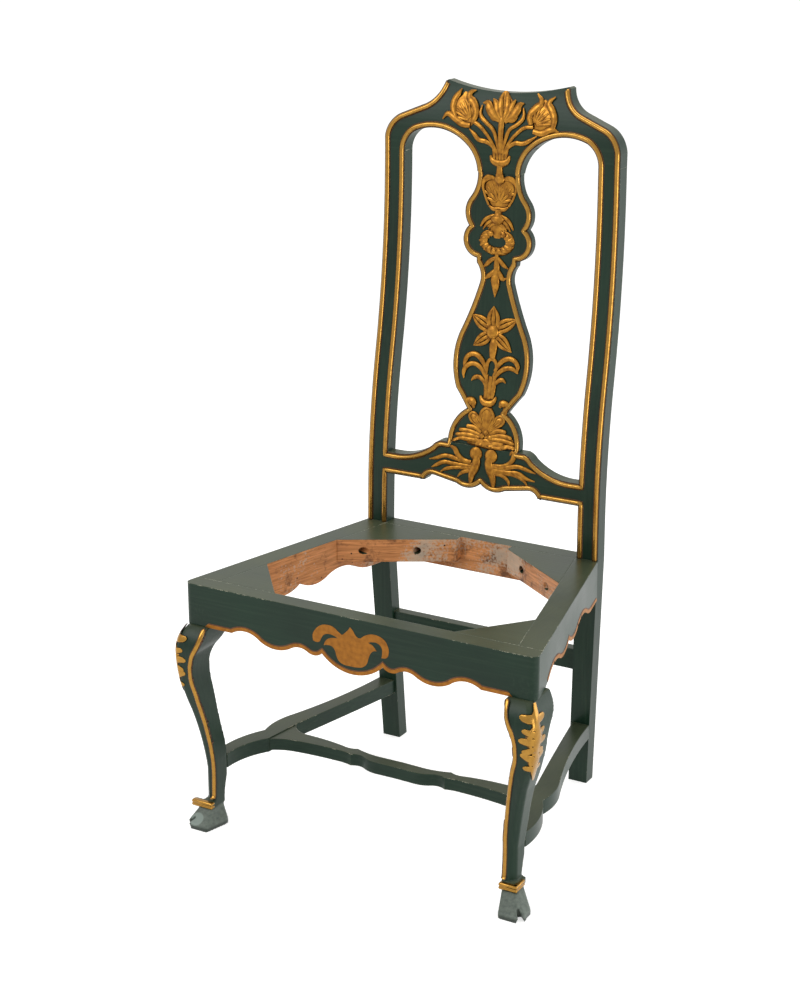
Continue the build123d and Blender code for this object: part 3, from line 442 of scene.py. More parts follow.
# %% [markdown]
# ## Raised gilt beads along the back
#
# A carver leaves a half-round bead, 7 mm wide, just inside every edge of the back: up the outer edges to
# the two peaks, round both tall openings, and along the wavy lower edge. It could be drawn by hand, but the
# wood already knows its own outline. So we copy the front face of each piece of the back, lay the copies
# flat, weld them into one sheet and inset it by the bead's half width. The inner edge of the inset is the
# bead's centre line. Pieces that meet in a T need a shared point there, which bisect cuts.

# %% The flat outline of the joined back
bead_half = 0.0036
bole_and_shade_half = 0.0049  # a thin red-brown line on both sides of the gold: partly the ground showing, partly painted shade along the bead's flanks
rail_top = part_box("lower_back_rail")[1].z
splat_foot = max(p.co.x for p in wood["back_splat"].data.vertices if p.co.z < rail_top + hair)


def front_sheet(node):
    """The front face of a piece of the back, laid flat in the plane y = 0."""
    sheet = copy_of(node, "sheet_" + node)
    front = min(f.center.y for f in sheet.data.polygons if f.normal.y < -square_on)
    pick(sheet, "FACE", lambda f: f.normal.y < -square_on and f.center.y < front + hair)
    bpy.ops.mesh.faces_select_linked_flat(sharpness=0.5)
    bpy.ops.mesh.select_all(action="INVERT")
    bpy.ops.mesh.delete(type="FACE")
    bpy.ops.mesh.select_all(action="SELECT")
    bpy.ops.mesh.bisect(plane_co=(0, 0, seat_top), plane_no=(0, 0, 1), clear_inner=True)
    bpy.ops.mesh.select_all(action="SELECT")
    bpy.ops.transform.resize(value=(1, 0, 1), center_override=(0, 0, 0))
    bpy.ops.mesh.dissolve_limited(angle_limit=0.01)
    leave_edit()
    return sheet


def cut_across(obj, place, normal):
    """A cut right through a mesh, which leaves a point where it crosses each edge."""
    edit(obj)
    bpy.ops.mesh.bisect(plane_co=place, plane_no=normal)
    leave_edit()


back_nodes = ["crest_rail", "rear_post_left", "rear_post_right", "lower_back_rail", "back_splat"]
sheets = {node: front_sheet(node) for node in back_nodes}
rail_ends = [p.co.z for p in sheets["lower_back_rail"].data.vertices if p.co.x > 0.15]
for side in (-1, 1):
    cut_across(sheets["lower_back_rail"], (side * splat_foot, 0, 0), (1, 0, 0))
for post in ("rear_post_left", "rear_post_right"):
    for height in (min(rail_ends), max(rail_ends)):
        cut_across(sheets[post], (0, 0, height), (0, 0, 1))
only(*sheets.values())
bpy.ops.object.join()
back_sheet = bpy.context.object
edit(back_sheet)
bpy.ops.mesh.remove_doubles(threshold=0.0004)
leave_edit()
print("flat back:", len(back_sheet.data.polygons), "faces, rail ends at", min(rail_ends), max(rail_ends))

# %% The centre line of the bead
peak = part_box("crest_rail")[1].z
peak_half, scoop = 0.0925, 0.03  # the bead stops at the peaks, so the scoop between them stays plain
edit(back_sheet)
bpy.ops.mesh.select_mode(type="FACE")
bpy.ops.mesh.inset(thickness=bole_and_shade_half, use_boundary=True, use_even_offset=True)
bpy.ops.mesh.region_to_loop()
bpy.ops.mesh.duplicate()
bpy.ops.mesh.separate(type="SELECTED")
leave_edit()
bead_line = [o for o in bpy.context.selected_objects if o is not back_sheet][0]
bead_line.name = "gilt_bead_of_the_back"
pick(bead_line, "VERT", lambda p: abs(p.co.x) < peak_half and p.co.z > peak - scoop)
bpy.ops.mesh.delete(type="VERT")
bead_end = seat_top + bole_and_shade_half + 0.0002
bpy.ops.mesh.select_all(action="SELECT")
bpy.ops.mesh.bisect(plane_co=(0, 0, bead_end), plane_no=(0, 0, 1), clear_inner=True)
pick(bead_line, "VERT", lambda p: p.co.z < bead_end + hair)
bpy.ops.transform.translate(value=(0, 0, seat_top - bead_end))
leave_edit()
print("bead line:", len(bead_line.data.vertices), "points")

# %% [markdown]
# The line still lies in the plane y = 0, in front of the chair. Long straight runs get more points, and
# Shrinkwrap then drops every point straight back onto the curved wood. The line becomes a curve, so that
# its points can be rounded everywhere except at the real cusps, and a curve's bevel gives it thickness.

# %% Lay the bead on the wood
def split_long_edges(obj, longest):
    """Halves the edges of a line until none is longer than this."""
    def is_long(edge):
        start, end = (obj.data.vertices[i].co for i in edge.vertices)
        return (start - end).length > longest

    while any(map(is_long, obj.data.edges)):
        pick(obj, "EDGE", is_long)
        bpy.ops.mesh.subdivide(number_cuts=1)
        leave_edit()


copies = [copy_of(node, "wood_" + node) for node in back_nodes]
only(*copies)
bpy.ops.object.join()
back_wood = bpy.context.object
back_wood.name = "back_to_drop_on"
split_long_edges(bead_line, 0.022)
work(bead_line, "SHRINKWRAP", wrap_method="PROJECT", use_project_y=True, target=back_wood)
lost = sum(1 for p in bead_line.data.vertices if p.co.y < 0.1)
print(bead_line.name, "has", len(bead_line.data.vertices), "points on the wood,", lost, "lost")


# %% Thicken the bead
def thicken(line, radius, sides=3):
    """Turns a line of points into a round bead that keeps its cusps, which turn by more than 32 degrees."""
    bead = converted(line, "CURVE")
    bpy.ops.object.mode_set(mode="EDIT")
    bpy.ops.curve.select_all(action="SELECT")
    bpy.ops.curve.spline_type_set(type="BEZIER")
    bpy.ops.curve.handle_type_set(type="AUTOMATIC")
    leave_edit()
    for spline in bead.data.splines:
        points = spline.bezier_points
        for before, point, after in zip(points, points[1:], points[2:]):
            way_in, way_out = point.co - before.co, after.co - point.co
            if way_in.length > 0 and way_out.length > 0 and way_in.angle(way_out) > 0.55:
                point.handle_left_type = point.handle_right_type = "VECTOR"
        spline.resolution_u = 3
    bead.data.bevel_depth = radius
    bead.data.bevel_resolution = sides
    bead.data.use_fill_caps = True
    bead = converted(bead, "MESH")
    bpy.ops.object.shade_smooth()
    return bead


def dressed(piece, finish=gold_leaf):
    """Gives a new piece its finish and fixes it to the chair."""
    piece.data.materials.clear()
    piece.data.materials.append(finish)
    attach(piece, "root")
    return piece


# The flattened red-brown line round the bead is partly bole ground, partly painted shade along the bead's
# flanks.
only(bead_line)
bpy.ops.object.duplicate()
bole_and_shade_line = bpy.context.object
bole_and_shade_line.name = "bole_and_shade_line_of_the_back"
back_bead = dressed(thicken(bead_line, bead_half), burnished_gold)
back_bole_and_shade = dressed(thicken(bole_and_shade_line, bole_and_shade_half, sides=1), red_bole)
for point in back_bole_and_shade.data.vertices:
    found, hit, _, _ = back_wood.ray_cast((point.co.x, -1, point.co.z), (0, 1, 0))
    if found:
        point.co.y = hit.y + (point.co.y - hit.y) * 0.1  # pressed to a tenth of its height
print("bead of the back:", len(back_bead.data.polygons), "faces, its ground:", len(back_bole_and_shade.data.polygons))
bpy.data.objects.remove(back_sheet)

# %% [markdown]
# ## Carved and gilded flowers
#
# The ornament in the middle of the back is carved in low relief: flowers on the top rail, and below them an
# urn, a wreath, a hanging drop, a star flower, fronds and a shell, down to the feathers on the lower rail.
# A carver works such leaves as a few long strokes with one gouge, each thin at its ends and full in the
# middle. So each leaf is drawn here as strokes too: a smooth curve with a radius at each point. All the
# strokes of one motif are one curve object. Its round section is flattened to a low relief, and then each
# point is pushed straight back until it has the wood behind it.

# %% A stroke of the gouge
thin_end = 1.3  # millimetres
dome = ((0.55, 0.8), (0.9, 0.35))  # how far past the end, in radii, and how full it still is there


def round_off(stroke):
    """Adds a dome to the end of a stroke, unless the end is thin already."""
    (x, z, _), (x_end, z_end, radius) = stroke[-2:]
    if radius < thin_end:
        return stroke
    long = sqrt((x_end - x) ** 2 + (z_end - z) ** 2) / radius
    across, up = (x_end - x) / long, (z_end - z) / long
    return stroke + [(x_end + across * past, z_end + up * past, radius * full) for past, full in dome]


def new_drawing(name):
    """An empty curve object."""
    bpy.ops.object.select_all(action="DESELECT")
    bpy.ops.curve.primitive_bezier_curve_add()
    drawing = bpy.context.object
    drawing.name = name
    drawing.data.splines.clear()
    return drawing


def strokes_to_mesh(name, strokes):
    """Round, tapering strokes in the plane y = 0. Each point is (x, z, radius) in millimetres."""
    drawing = new_drawing(name)
    for stroke in map(round_off, strokes):
        spline = drawing.data.splines.new("BEZIER")
        spline.bezier_points.add(len(stroke) - 1)
        spline.radius_interpolation = "CARDINAL"
        spline.resolution_u = 4
        for point, (x, z, radius) in zip(spline.bezier_points, stroke):
            point.co = (x / 1000, 0, z / 1000)
            point.radius = radius
    bpy.ops.object.mode_set(mode="EDIT")
    bpy.ops.curve.select_all(action="SELECT")
    bpy.ops.curve.handle_type_set(type="AUTOMATIC")
    leave_edit()
    drawing.data.bevel_depth = 0.001
    drawing.data.bevel_resolution = 2
    drawing.data.use_fill_caps = True
    return converted(drawing, "MESH")


far_off = 0.6  # a drawing is pushed back from this far in front of the chair
step = 0.004  # where the wood steps this near, above or below, a drawing lies on the higher side


def press_onto(piece, wooden, relief, lift=0, place=(0, 0), turn=0):
    """Flattens a drawing, turns it about the vertical to face the wood and pushes it back onto it."""
    across, inward = (cos(turn), sin(turn)), (-sin(turn), cos(turn))
    depth = 0.5  # until the first point meets the wood
    for point in piece.data.vertices:
        x = place[0] + point.co.x * across[0] - inward[0] * far_off
        y = place[1] + point.co.x * across[1] - inward[1] * far_off
        z = point.co.z
        reaches = []
        for height in (z - step, z, z + step):
            found, hit, _, _ = wooden.ray_cast((x, y, height), (inward[0], inward[1], 0))
            if found:
                reaches.append((hit.x - x) * inward[0] + (hit.y - y) * inward[1])
        depth = min(reaches or [depth])
        reach = depth + point.co.y * relief - lift
        point.co = (x + inward[0] * reach, y + inward[1] * reach, z)
    only(piece)
    bpy.ops.object.shade_smooth()
    return piece


# The flowers are drawn on a flat sheet, but the back bends away from it. So the drawing is slid, by this
# much across and up, in millimetres, at these heights, to lie where the carver put it.
slide = [(440, 0, 0), (505, 0, 0), (530, -3, -2), (570, -5, -3), (680, -5, -3), (780, -2, -1), (860, -1, 0),
         (940, 0, 1), (960, -1, 1), (980, -2, 1), (1000, -5, 1), (1020, -9, 0)]


def slid(x, z):
    """The place on the back of a point of the drawing."""
    for (low, x_low, up_low), (high, x_high, up_high) in zip(slide, slide[1:]):
        if z <= high:
            share = (z - low) / (high - low)
            break
    return x + x_low + (x_high - x_low) * share, z + up_low + (up_high - up_low) * share


def carve(name, strokes, relief=0.45, lift=0.0009):
    """Carves strokes on the back, each point as (x, z, radius) in millimetres."""
    moved = [[slid(x, z) + (radius,) for x, z, radius in stroke] for stroke in strokes]
    piece = dressed(press_onto(strokes_to_mesh(name, moved), back_wood, relief, lift))
    print(name, "has", len(strokes), "strokes and", len(piece.data.polygons), "faces")


def carve_body(name, strokes, relief=0.06):
    """The low, broad mass under a motif, which fills the gaps between its strokes."""
    carve(name, strokes, relief, 0)


def boss(x, z, radius):
    """A domed button, as a stroke whose width follows a circle."""
    turns = [radians(a) for a in (-86, -60, -30, 0, 30, 60, 86)]
    return [(x, z + radius * sin(a), radius * cos(a)) for a in turns]


# Along a petal: how far up, how far its ribs are spread and how full they are.
petal_form = ((0, 0.5, 0.5), (0.25, 1, 0.9), (0.5, 1, 0.9), (0.75, 0.6, 0.6), (1, 0, 0.1))


def petal(base, tip, width):
    """A pointed petal of three ribs, which spread from the base, run side by side and meet at the tip."""
    dx, dz = tip[0] - base[0], tip[1] - base[1]
    rib = width / 3
    side = rib / sqrt(dx * dx + dz * dz)
    return [[(base[0] + dx * up - dz * side * i * spread, base[1] + dz * up + dx * side * i * spread,
              0.55 * rib * full) for up, spread, full in petal_form] for i in (-1, 0, 1)]


def fan(x, z, first, last, ribs, near, far, thick):
    """Ribs that spread from a point, between two angles in degrees, from near to far."""
    turns = [radians(first + (last - first) * i / (ribs - 1)) for i in range(ribs)]
    return [[(x + reach * cos(a), z + reach * sin(a), thick * full)
             for reach, full in ((near, 0.5), ((near + far) / 2, 1), (far, 0.7))] for a in turns]


# %% Flowers of the top rail
left_tulip = fan(-45, 974, 170, 98, 6, 5, 28, 2.5) + [
    [(-70, 978, 4), (-74, 990, 5), (-71, 1003, 5), (-65, 1011, 4), (-60, 1018, 1)],
    [(-42, 973, 4), (-37, 985, 5), (-41, 999, 6), (-48, 1007, 5), (-46, 1013, 4), (-37, 1017, 1)],
    [(-46, 968, 4), (-58, 969, 5), (-72, 977, 5), (-83, 982, 4), (-91, 974, 1)],
]
right_tulip = fan(54, 974, 82, 8, 6, 5, 27, 2.5) + [
    [(50, 975, 4), (48, 987, 5), (57, 997, 6), (66, 1006, 4.5), (60, 1018, 1)],
    [(84, 972, 4), (86, 985, 5), (82, 997, 5), (78, 1006, 4), (88, 1015, 1)],
    [(54, 966, 4), (68, 964, 5), (82, 970, 5), (94, 967, 1)],
]
lily = [
    [(3, 976, 3), (-8, 984, 6.5), (-15, 993, 7), (-19, 1000, 5), (-26, 1000, 1)],
    [(9, 976, 3), (20, 984, 6.5), (28, 993, 7), (32, 1000, 5), (39, 1003, 1)],
    [(3, 978, 3), (-3, 990, 5), (-5, 1000, 5), (-9, 1006, 1.5)],
    [(9, 978, 3), (17, 990, 5), (20, 999, 5), (25, 1006, 1.5)],
    [(5, 980, 3), (2, 993, 5), (3, 1006, 4.5), (6, 1015, 1.5)],
    [(7, 980, 3), (12, 993, 5), (13, 1006, 4.5), (12, 1016, 1.5)],
    [(1, 982, 3), (-9, 980, 4), (-15, 986, 2)], [(11, 982, 3), (21, 979, 4), (28, 985, 2)],
    [(3, 932, 5), (3, 958, 4.6), (4, 980, 5)],
]
crest_leaves = [
    [(-42, 974, 3), (-32, 969, 3), (-21, 959, 2.8), (-9, 943, 2.6), (-4, 934, 2.5)],
    [(-27, 997, 1), (-30, 984, 3), (-21, 974, 3.2), (-10, 965, 3), (-4, 952, 3), (-1, 938, 2.5)],
    [(-47, 963, 1), (-39, 956, 3.2), (-32, 949, 3.6), (-20, 947, 3.6), (-10, 941, 3), (-5, 933, 2.5)],
    [(54, 972, 3), (40, 970, 3), (28, 961, 2.8), (15, 946, 2.6), (9, 934, 2.5)],
    [(38, 997, 1), (38, 984, 3), (29, 974, 3.2), (17, 966, 3), (11, 953, 3), (6, 938, 2.5)],
    [(60, 960, 1), (49, 953, 3.2), (38, 948, 3.6), (26, 948, 3.6), (16, 942, 3), (9, 933, 2.5)],
]
bundle = [[(x, 938, 2), (0.8 * x, 930, 2.7), (0.8 * x, 922, 2)] for x in (-9, -3, 2.5, 8, 14)]
bundle += [[(-13, 928, 2), (-9, 921, 4.5), (2, 918, 5.5), (13, 921, 4.5), (17, 928, 2)]]
crest_bodies = [
    [(-44, 968, 6), (-53, 976, 16), (-57, 988, 20), (-57, 1000, 15), (-55, 1009, 5)],
    [(60, 965, 8), (66, 974, 18), (67, 986, 20), (70, 997, 14), (71, 1005, 5)],
    [(5, 975, 8), (5, 984, 18), (7, 993, 20), (8, 1003, 14), (9, 1012, 7)],
    [(3, 938, 11), (3, 931, 13), (2, 923, 13), (2, 917, 8)],
]
for name, strokes in (("carved_tulip_left", left_tulip), ("carved_tulip_right", right_tulip),
                      ("carved_lily", lily), ("carved_crest_leaves", crest_leaves),
                      ("carved_bundle", bundle)):
    carve(name, strokes)
carve_body("carved_crest_bodies", crest_bodies)

# %% Urn, shell and drape
urn = fan(2, 861, 160, 20, 7, 5, 19, 2.8) + fan(2, 861, 145, 35, 8, 22, 28, 2.2) + [
    [(-3, 895, 2), (-12, 897, 4), (-21, 894, 4.6), (-25, 887, 3), (-23, 877, 2), (-19, 867, 2),
     (-15, 859, 2)],
    [(7, 895, 2), (15, 897, 4), (25, 894, 4.6), (29, 887, 3), (27, 877, 2), (23, 867, 2), (18, 859, 2)],
    [(2, 915, 5), (2, 908, 5), (2, 901, 6.5), (2, 896, 9)], [(-14, 857, 1.5), (-6, 853, 3.4), (2, 854, 3)],
    [(17, 857, 1.5), (9, 853, 3.4), (2, 854, 3)], [(1, 853, 6), (1, 849, 5), (1, 845, 7), (1, 841, 12)],
]
drape = [
    [(-26, 827, 1.5), (-20, 836, 3), (-10, 842, 3), (0, 844, 3), (11, 842, 3), (20, 836, 3), (26, 826, 1.5)],
    [(-22, 823, 1), (-15, 832, 2.6), (-6, 837, 2.6), (1, 838, 2.6), (9, 837, 2.6), (16, 832, 2.6),
     (22, 823, 1)],
    [(-13, 824, 1), (-8, 830, 2.4), (2, 832, 2.4), (11, 829, 2.4), (16, 823, 1)],
]
urn_body = [
    [(2, 897, 6), (2, 894, 21), (2, 886, 28), (2, 876, 26), (2, 867, 21), (2, 859, 16), (2, 853, 8),
     (1, 847, 6)],
    [(0, 845, 10), (0, 841, 19), (0, 834, 24), (1, 828, 22), (1, 824, 14)],
]
carve("carved_urn_and_shell", urn)
carve("carved_drape", drape)
carve_body("carved_urn_body", urn_body, 0.04)

# %% Wreath and drop
wreath = []
for i in range(14):
    a = radians(118 + 23.4 * i)
    b = a + 0.22
    wreath.append([(1 + 15 * cos(a), 807 + 9 * sin(a), 2.6), (1 + 21 * cos(a), 806 + 13 * sin(a), 4.6),
                   (1 + 27 * cos(b), 806 + 16 * sin(b), 2)])
wreath_ring = [[(-7, 820, 4), (-17, 816, 6), (-21, 806, 6.5), (-14, 797, 6.5), (2, 793, 6.5), (17, 797, 6.5),
                (23, 806, 6.5), (19, 816, 6), (10, 820, 4)]]
drop = [
    [(2, 793, 3), (2, 784, 3.5), (3, 772, 5), (3, 762, 5), (2, 754, 7.5), (3, 744, 6.5), (3, 735, 3.5),
     (3, 728, 1)],
    [(1, 784, 3), (-7, 780, 3.6), (-13, 774, 3.4), (-20, 768, 1)],
    [(4, 784, 3), (11, 777, 3.6), (16, 773, 3), (22, 770, 1)],
    [(1, 766, 3.5), (-5, 760, 4.4), (-11, 756, 3.4), (-17, 751, 1)],
    [(5, 766, 3.5), (10, 759, 4.4), (14, 755, 3.8), (20, 756, 1)],
]
carve("carved_wreath", wreath)
carve("carved_wreath_ring", wreath_ring, 0.2, 0)
carve("carved_drop", drop)

# %% Star flower and fronds
star = petal((4, 684), (3, 715), 21) + petal((-1, 682), (-32, 700), 19) + petal((10, 682), (43, 700), 19)
star += petal((0, 674), (-26, 655), 18) + petal((9, 674), (37, 652), 18) + fan(4.5, 678, 0, 315, 8, 6, 14, 3)
star += [boss(4.5, 678, 11), [(7, 669, 4), (7, 661, 6.5), (7, 651, 6.5), (7, 642, 5)]]
fronds = [
    [(-1, 614, 2), (-1, 624, 3), (1, 635, 3), (7, 639, 3), (13, 635, 3), (15, 626, 3), (11, 614, 2)],
    [(-1, 622, 3), (-9, 635, 4), (-21, 643, 4.2), (-32, 640, 4), (-37, 631, 3.6), (-38, 624, 2)],
    [(-1, 612, 3), (-11, 625, 4), (-24, 629, 4), (-34, 624, 4), (-38, 615, 3.4), (-37, 606, 1)],
    [(0, 600, 3), (-5, 607, 3.4), (-14, 611, 3.6), (-21, 608, 3), (-24, 604, 1)],
    [(13, 622, 3), (20, 634, 4), (31, 642, 4.2), (42, 641, 4), (49, 633, 3.6), (49, 626, 2)],
    [(13, 612, 3), (23, 624, 4), (34, 629, 4), (43, 628, 3.6), (49, 624, 2)],
    [(12, 600, 3), (18, 607, 3.4), (26, 611, 3.6), (32, 607, 1)],
    [(0, 616, 3), (1, 600, 4), (2, 584, 3.4)], [(7, 614, 3), (7, 600, 4.4), (7, 583, 3.6)],
    [(13, 616, 3), (13, 600, 4), (12, 584, 3.4)],
    [(-7, 584, 2), (-3, 577, 4.5), (6, 574, 5.5), (14, 577, 4.5), (18, 584, 2)],
]
carve("carved_star_flower", star)
carve("carved_fronds", fronds)
carve_body("carved_frond_body", [[(6, 586, 9), (6, 578, 12), (6, 572, 8), (6, 566, 4)]])

# %% Shell, discs and feathers
shell_lobes = [
    [(6, 538, 9), (6, 550, 11), (6, 559, 10.5), (6, 565, 7), (6, 568, 2)],
    [(0, 536, 7), (-9, 544, 8), (-16, 550, 7.5), (-21, 555, 3)],
    [(12, 536, 7), (21, 544, 8), (28, 550, 7.5), (33, 555, 3)],
]
shell = fan(6, 534, 112, 68, 4, 6, 29, 1.6) + fan(3, 532, 150, 120, 4, 6, 26, 1.5) + [
    [(-2, 544, 1.5), (-5, 555, 2), (0, 565, 2.4), (6, 567, 2.4), (12, 565, 2.4), (17, 555, 2),
     (14, 544, 1.5)],
    [(-13, 541, 1.5), (-21, 548, 2), (-22, 555, 2.2), (-15, 558, 2.2), (-7, 552, 1.5)],
    [(25, 541, 1.5), (33, 548, 2), (34, 555, 2.2), (27, 558, 2.2), (19, 552, 1.5)],
    [(-2, 530, 3), (-12, 536, 4), (-24, 537, 3.4)], [(-3, 526, 3), (-20, 530, 4), (-36, 530, 3.2)],
    [(-4, 522, 3), (-24, 524, 4), (-42, 522, 3)], [(-4, 517, 3), (-22, 517, 4), (-36, 517, 3), (-47, 513, 2)],
    [(14, 530, 3), (24, 536, 4), (36, 536, 3.4)], [(15, 526, 3), (31, 530, 4), (46, 528, 3.2)],
    [(16, 522, 3), (33, 523, 4), (50, 520, 3)], [(16, 514, 3), (30, 512, 4), (42, 515, 3), (53, 514, 2)],
    [(-12, 520, 3), (-2, 515, 4), (6, 519, 4), (14, 514, 4), (24, 511, 3)],
    boss(-1, 525, 5), boss(13, 524, 5), boss(6, 531, 4.5),
] + fan(9, 532, 60, 30, 4, 6, 26, 1.5)
hooks = [
    [(-16, 483, 4), (-30, 485, 4.5), (-39, 492, 4.5), (-44, 500, 4), (-52, 503, 1.5)],
    [(20, 484, 3), (36, 485, 3.6), (47, 491, 3.6), (53, 500, 4), (51, 508, 3), (47, 503, 1)],
    [(-8, 500, 2), (-7, 488, 6.5), (-9, 477, 7), (-14, 466, 6), (-16, 452, 3)],
    [(15, 500, 2), (13, 488, 6.5), (15, 477, 7), (20, 466, 6), (22, 452, 3)],
]
feathers = [
    [(-12, 480, 3), (-40, 485, 4), (-60, 487, 3.6), (-75, 481, 3), (-86, 478, 1)],
    [(-12, 477, 3), (-45, 477, 3.6), (-62, 477, 3.6), (-75, 470, 3), (-82, 466, 1)],
    [(-14, 474, 3), (-45, 471, 3.2), (-58, 467, 3), (-67, 461, 1)],
    [(-14, 471, 3), (-30, 466, 3.2), (-38, 458, 1)],
    [(16, 480, 3), (40, 483, 4), (60, 488, 3.6), (78, 485, 3), (90, 482, 1)],
    [(16, 477, 3), (45, 477, 3.6), (62, 478, 3.6), (76, 472, 3), (89, 470, 1)],
    [(18, 474, 3), (42, 475, 3.2), (58, 474, 3), (72, 468, 2.6), (78, 460, 1)],
    [(18, 471, 3), (35, 471, 3.2), (45, 465, 3), (48, 455, 1)],
]
knobs = [[(-31, 572, 4), (-24, 576, 5), (-18, 573, 6), (-17, 567, 3)], boss(-20, 574, 6),
         [(42, 572, 4), (35, 577, 5), (29, 576, 6), (27, 573, 3)], [(36, 571, 4), (34, 562, 4)]]
for name, strokes in (("carved_shell", shell), ("carved_hooks", hooks), ("carved_feathers", feathers),
                      ("carved_waist_knobs", knobs)):
    carve(name, strokes)
shell_body = [
    [(-34, 522, 8), (-20, 524, 12), (-5, 522, 13), (6, 522, 14), (20, 520, 13), (35, 522, 11), (44, 522, 7)],
    [(6, 524, 14), (6, 540, 19), (6, 552, 17), (6, 562, 10)],
]
carve_body("carved_shell_body", shell_body)
carve_body("carved_shell_lobes", shell_lobes, 0.14)
carve_body("carved_discs", [boss(-9, 497, 11), boss(16, 497, 11)], 0.25)

# %% [markdown]
# ## Gold lines and flat ornament
#
# The seat frame and the legs have no carving. There a painter drew in bronze-gold: a line along every lower
# edge of the seat frame and along the inner edge of each front leg, a palmette on the apron, and a leaf on
# each knee. A line that follows an edge needs no drawing. We copy the face, inset it by the width of the
# line, throw the middle away and keep the part of the rim that we want. Solidify lifts it 0.4 mm, and a
# wider line in red-brown bole under it gives the thin dark outline.

# %% Lines that follow an edge
def painted_edge(name, node, facing, keep, width, lift, finish):
    """The rim, of this width, of the faces that pass the test facing, where its faces pass the test keep."""
    line = copy_of(node, name)
    pick(line, "FACE", facing)
    bpy.ops.mesh.select_all(action="INVERT")
    bpy.ops.mesh.delete(type="FACE")
    bpy.ops.mesh.select_all(action="SELECT")
    bpy.ops.mesh.inset(thickness=width, use_boundary=True, use_even_offset=True)
    bpy.ops.mesh.delete(type="FACE")
    pick(line, "FACE", lambda f: not keep(f.center))
    bpy.ops.mesh.delete(type="FACE")
    work(line, "SOLIDIFY", thickness=lift, offset=1)
    dressed(line, finish)
    print(name, "has", len(line.data.polygons), "faces")


line_top = seat_top - 0.038  # only the lower edges have a line
line_end, line_half = 0.313, 0.235  # near the legs, the front rail's lower edge lies below line_end
line_front, line_back = -0.15, 0.14  # between the legs and the rear posts, on the side rails
for word, width, lift, finish in (("bole", 0.0068, 0.0002, red_bole), ("gold", 0.0052, 0.0004, bronze_paint)):
    painted_edge(word + "_line_of_the_apron", "seat_rail_front", lambda f: f.normal.y < -square_on,
                 lambda c: c.z < line_top and (abs(c.x) < line_half or c.z < line_end), width, lift, finish)
    for side, node in ((1, "seat_rail_right"), (-1, "seat_rail_left")):
        painted_edge(word + "_line_of_" + node, node, lambda f: f.normal.x * side > square_on,
                     lambda c: c.z < line_top and line_front < c.y < line_back, width, lift, finish)

# %% [markdown]
# ## Front legs with cloven hooves
#
# The joiner's model has the legs with sharp edges and flat toes. The real ones were rounded with a rasp.
# Bevelling every edge of such a bent shape by hand would be slow. A voxel remesh instead turns a copy into
# an even skin of small squares, which a few smoothing passes then round: lightly on the leg and heavily
# on the hoof. The left ankle band is only a short bar in front, so its ledge is first cut from the copy.

# %% Round the legs
front_legs = ((1, "front_leg_right"), (-1, "front_leg_left"))
hoof_top = 0.027
frame_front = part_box("seat_rail_front")[0].y
leg_paint = green_paint("green_oil_paint_legs", "Z", hoof_top=hoof_top, worn_toe=(-0.250, -0.233, 0.014))


def block(name, low, high):
    """A box between two corners."""
    bpy.ops.object.select_all(action="DESELECT")
    bpy.ops.mesh.primitive_cube_add(size=1, location=[(a + b) / 2 for a, b in zip(low, high)])
    box = bpy.context.object
    box.name = name
    box.scale = [b - a for a, b in zip(low, high)]
    return box


def rounded_leg(node, ledge=None):
    """A smooth twin of a front leg. The ledge is a box, as its two corners, that is cut off first."""
    leg = copy_of(node, "carved_" + node)
    if ledge:
        chisel = block("chisel", *ledge)
        work(leg, "BOOLEAN", object=chisel, operation="DIFFERENCE")
        bpy.data.objects.remove(chisel)
    work(leg, "REMESH", mode="VOXEL", voxel_size=0.0014)
    for part, low, high in (("hoof", 0.0006, hoof_top - 0.001), ("shank", 0.042, 0.297)):  # their heights
        points = [p.index for p in leg.data.vertices if low < p.co.z < high]
        leg.vertex_groups.new(name=part).add(points, 1, "REPLACE")
    for part, passes in (("", 2), ("hoof", 12), ("shank", 7)):
        work(leg, "SMOOTH", factor=0.5, iterations=passes, vertex_group=part)
    leg.vertex_groups.clear()
    bpy.ops.object.shade_smooth()
    print(leg.name, "has", len(leg.data.polygons), "faces")
    return dressed(leg, leg_paint)


ledge = ((-0.27, frame_front - 0.004, 0.0265), (-0.2506, frame_front + 0.03, 0.0375))
legs = {1: rounded_leg("front_leg_right"), -1: rounded_leg("front_leg_left", ledge)}

# %% [markdown]
# The stripe on each leg runs 3 mm inside the inner edge of its front face. The edge is found by looking at
# the joiner's leg from the front, at one height after another, and walking inwards until the front face
# ends. The knee leaf is drawn as strokes, like the carving, and laid round the outer corner of the knee,
# so it is pushed back along a line that is turned 50 degrees.

# %% Stripes and knee leaves
knee_leaf = [[(4, 304, 3), (3, 295, 5), (1, 287, 9), (1, 278, 7.5), (0, 268, 13), (0, 256, 14), (1, 246, 10),
              (1, 238, 7), (1, 230, 11), (2, 218, 9), (3, 207, 6), (4, 197, 3)]]
for way, top in ((-1, 0), (1, -3)):  # the lobes of the outer half sit a little lower
    for height, reach, rise, thick in ((287, 14, 1, 6), (267, 14, 4, 5), (256, 16, 1, 6), (246, 13, -4, 5),
                                       (230, 14, 6, 5.5), (216, 11, 2, 4.6)):
        knee_leaf.append([(way * out * reach, height + top + up * rise, full * thick)
                          for out, up, full in ((3 / reach, 0, 1), (0.6, 0.5, 1), (1, 1, 0.85))])
knee_corner = (0.274, frame_front - 0.005)
knee_turn = radians(50)
stripe_in, stripe_half, bole_extra = 3.2, 3, 0.9  # millimetres, as in all drawings
stripe_heights = range(41, 308, 9)
walk = [0.225 + i * 0.0004 for i in range(120)]  # from inside the edge outwards, in small steps
usual_edge = 0.2315  # where no ray meets the front face


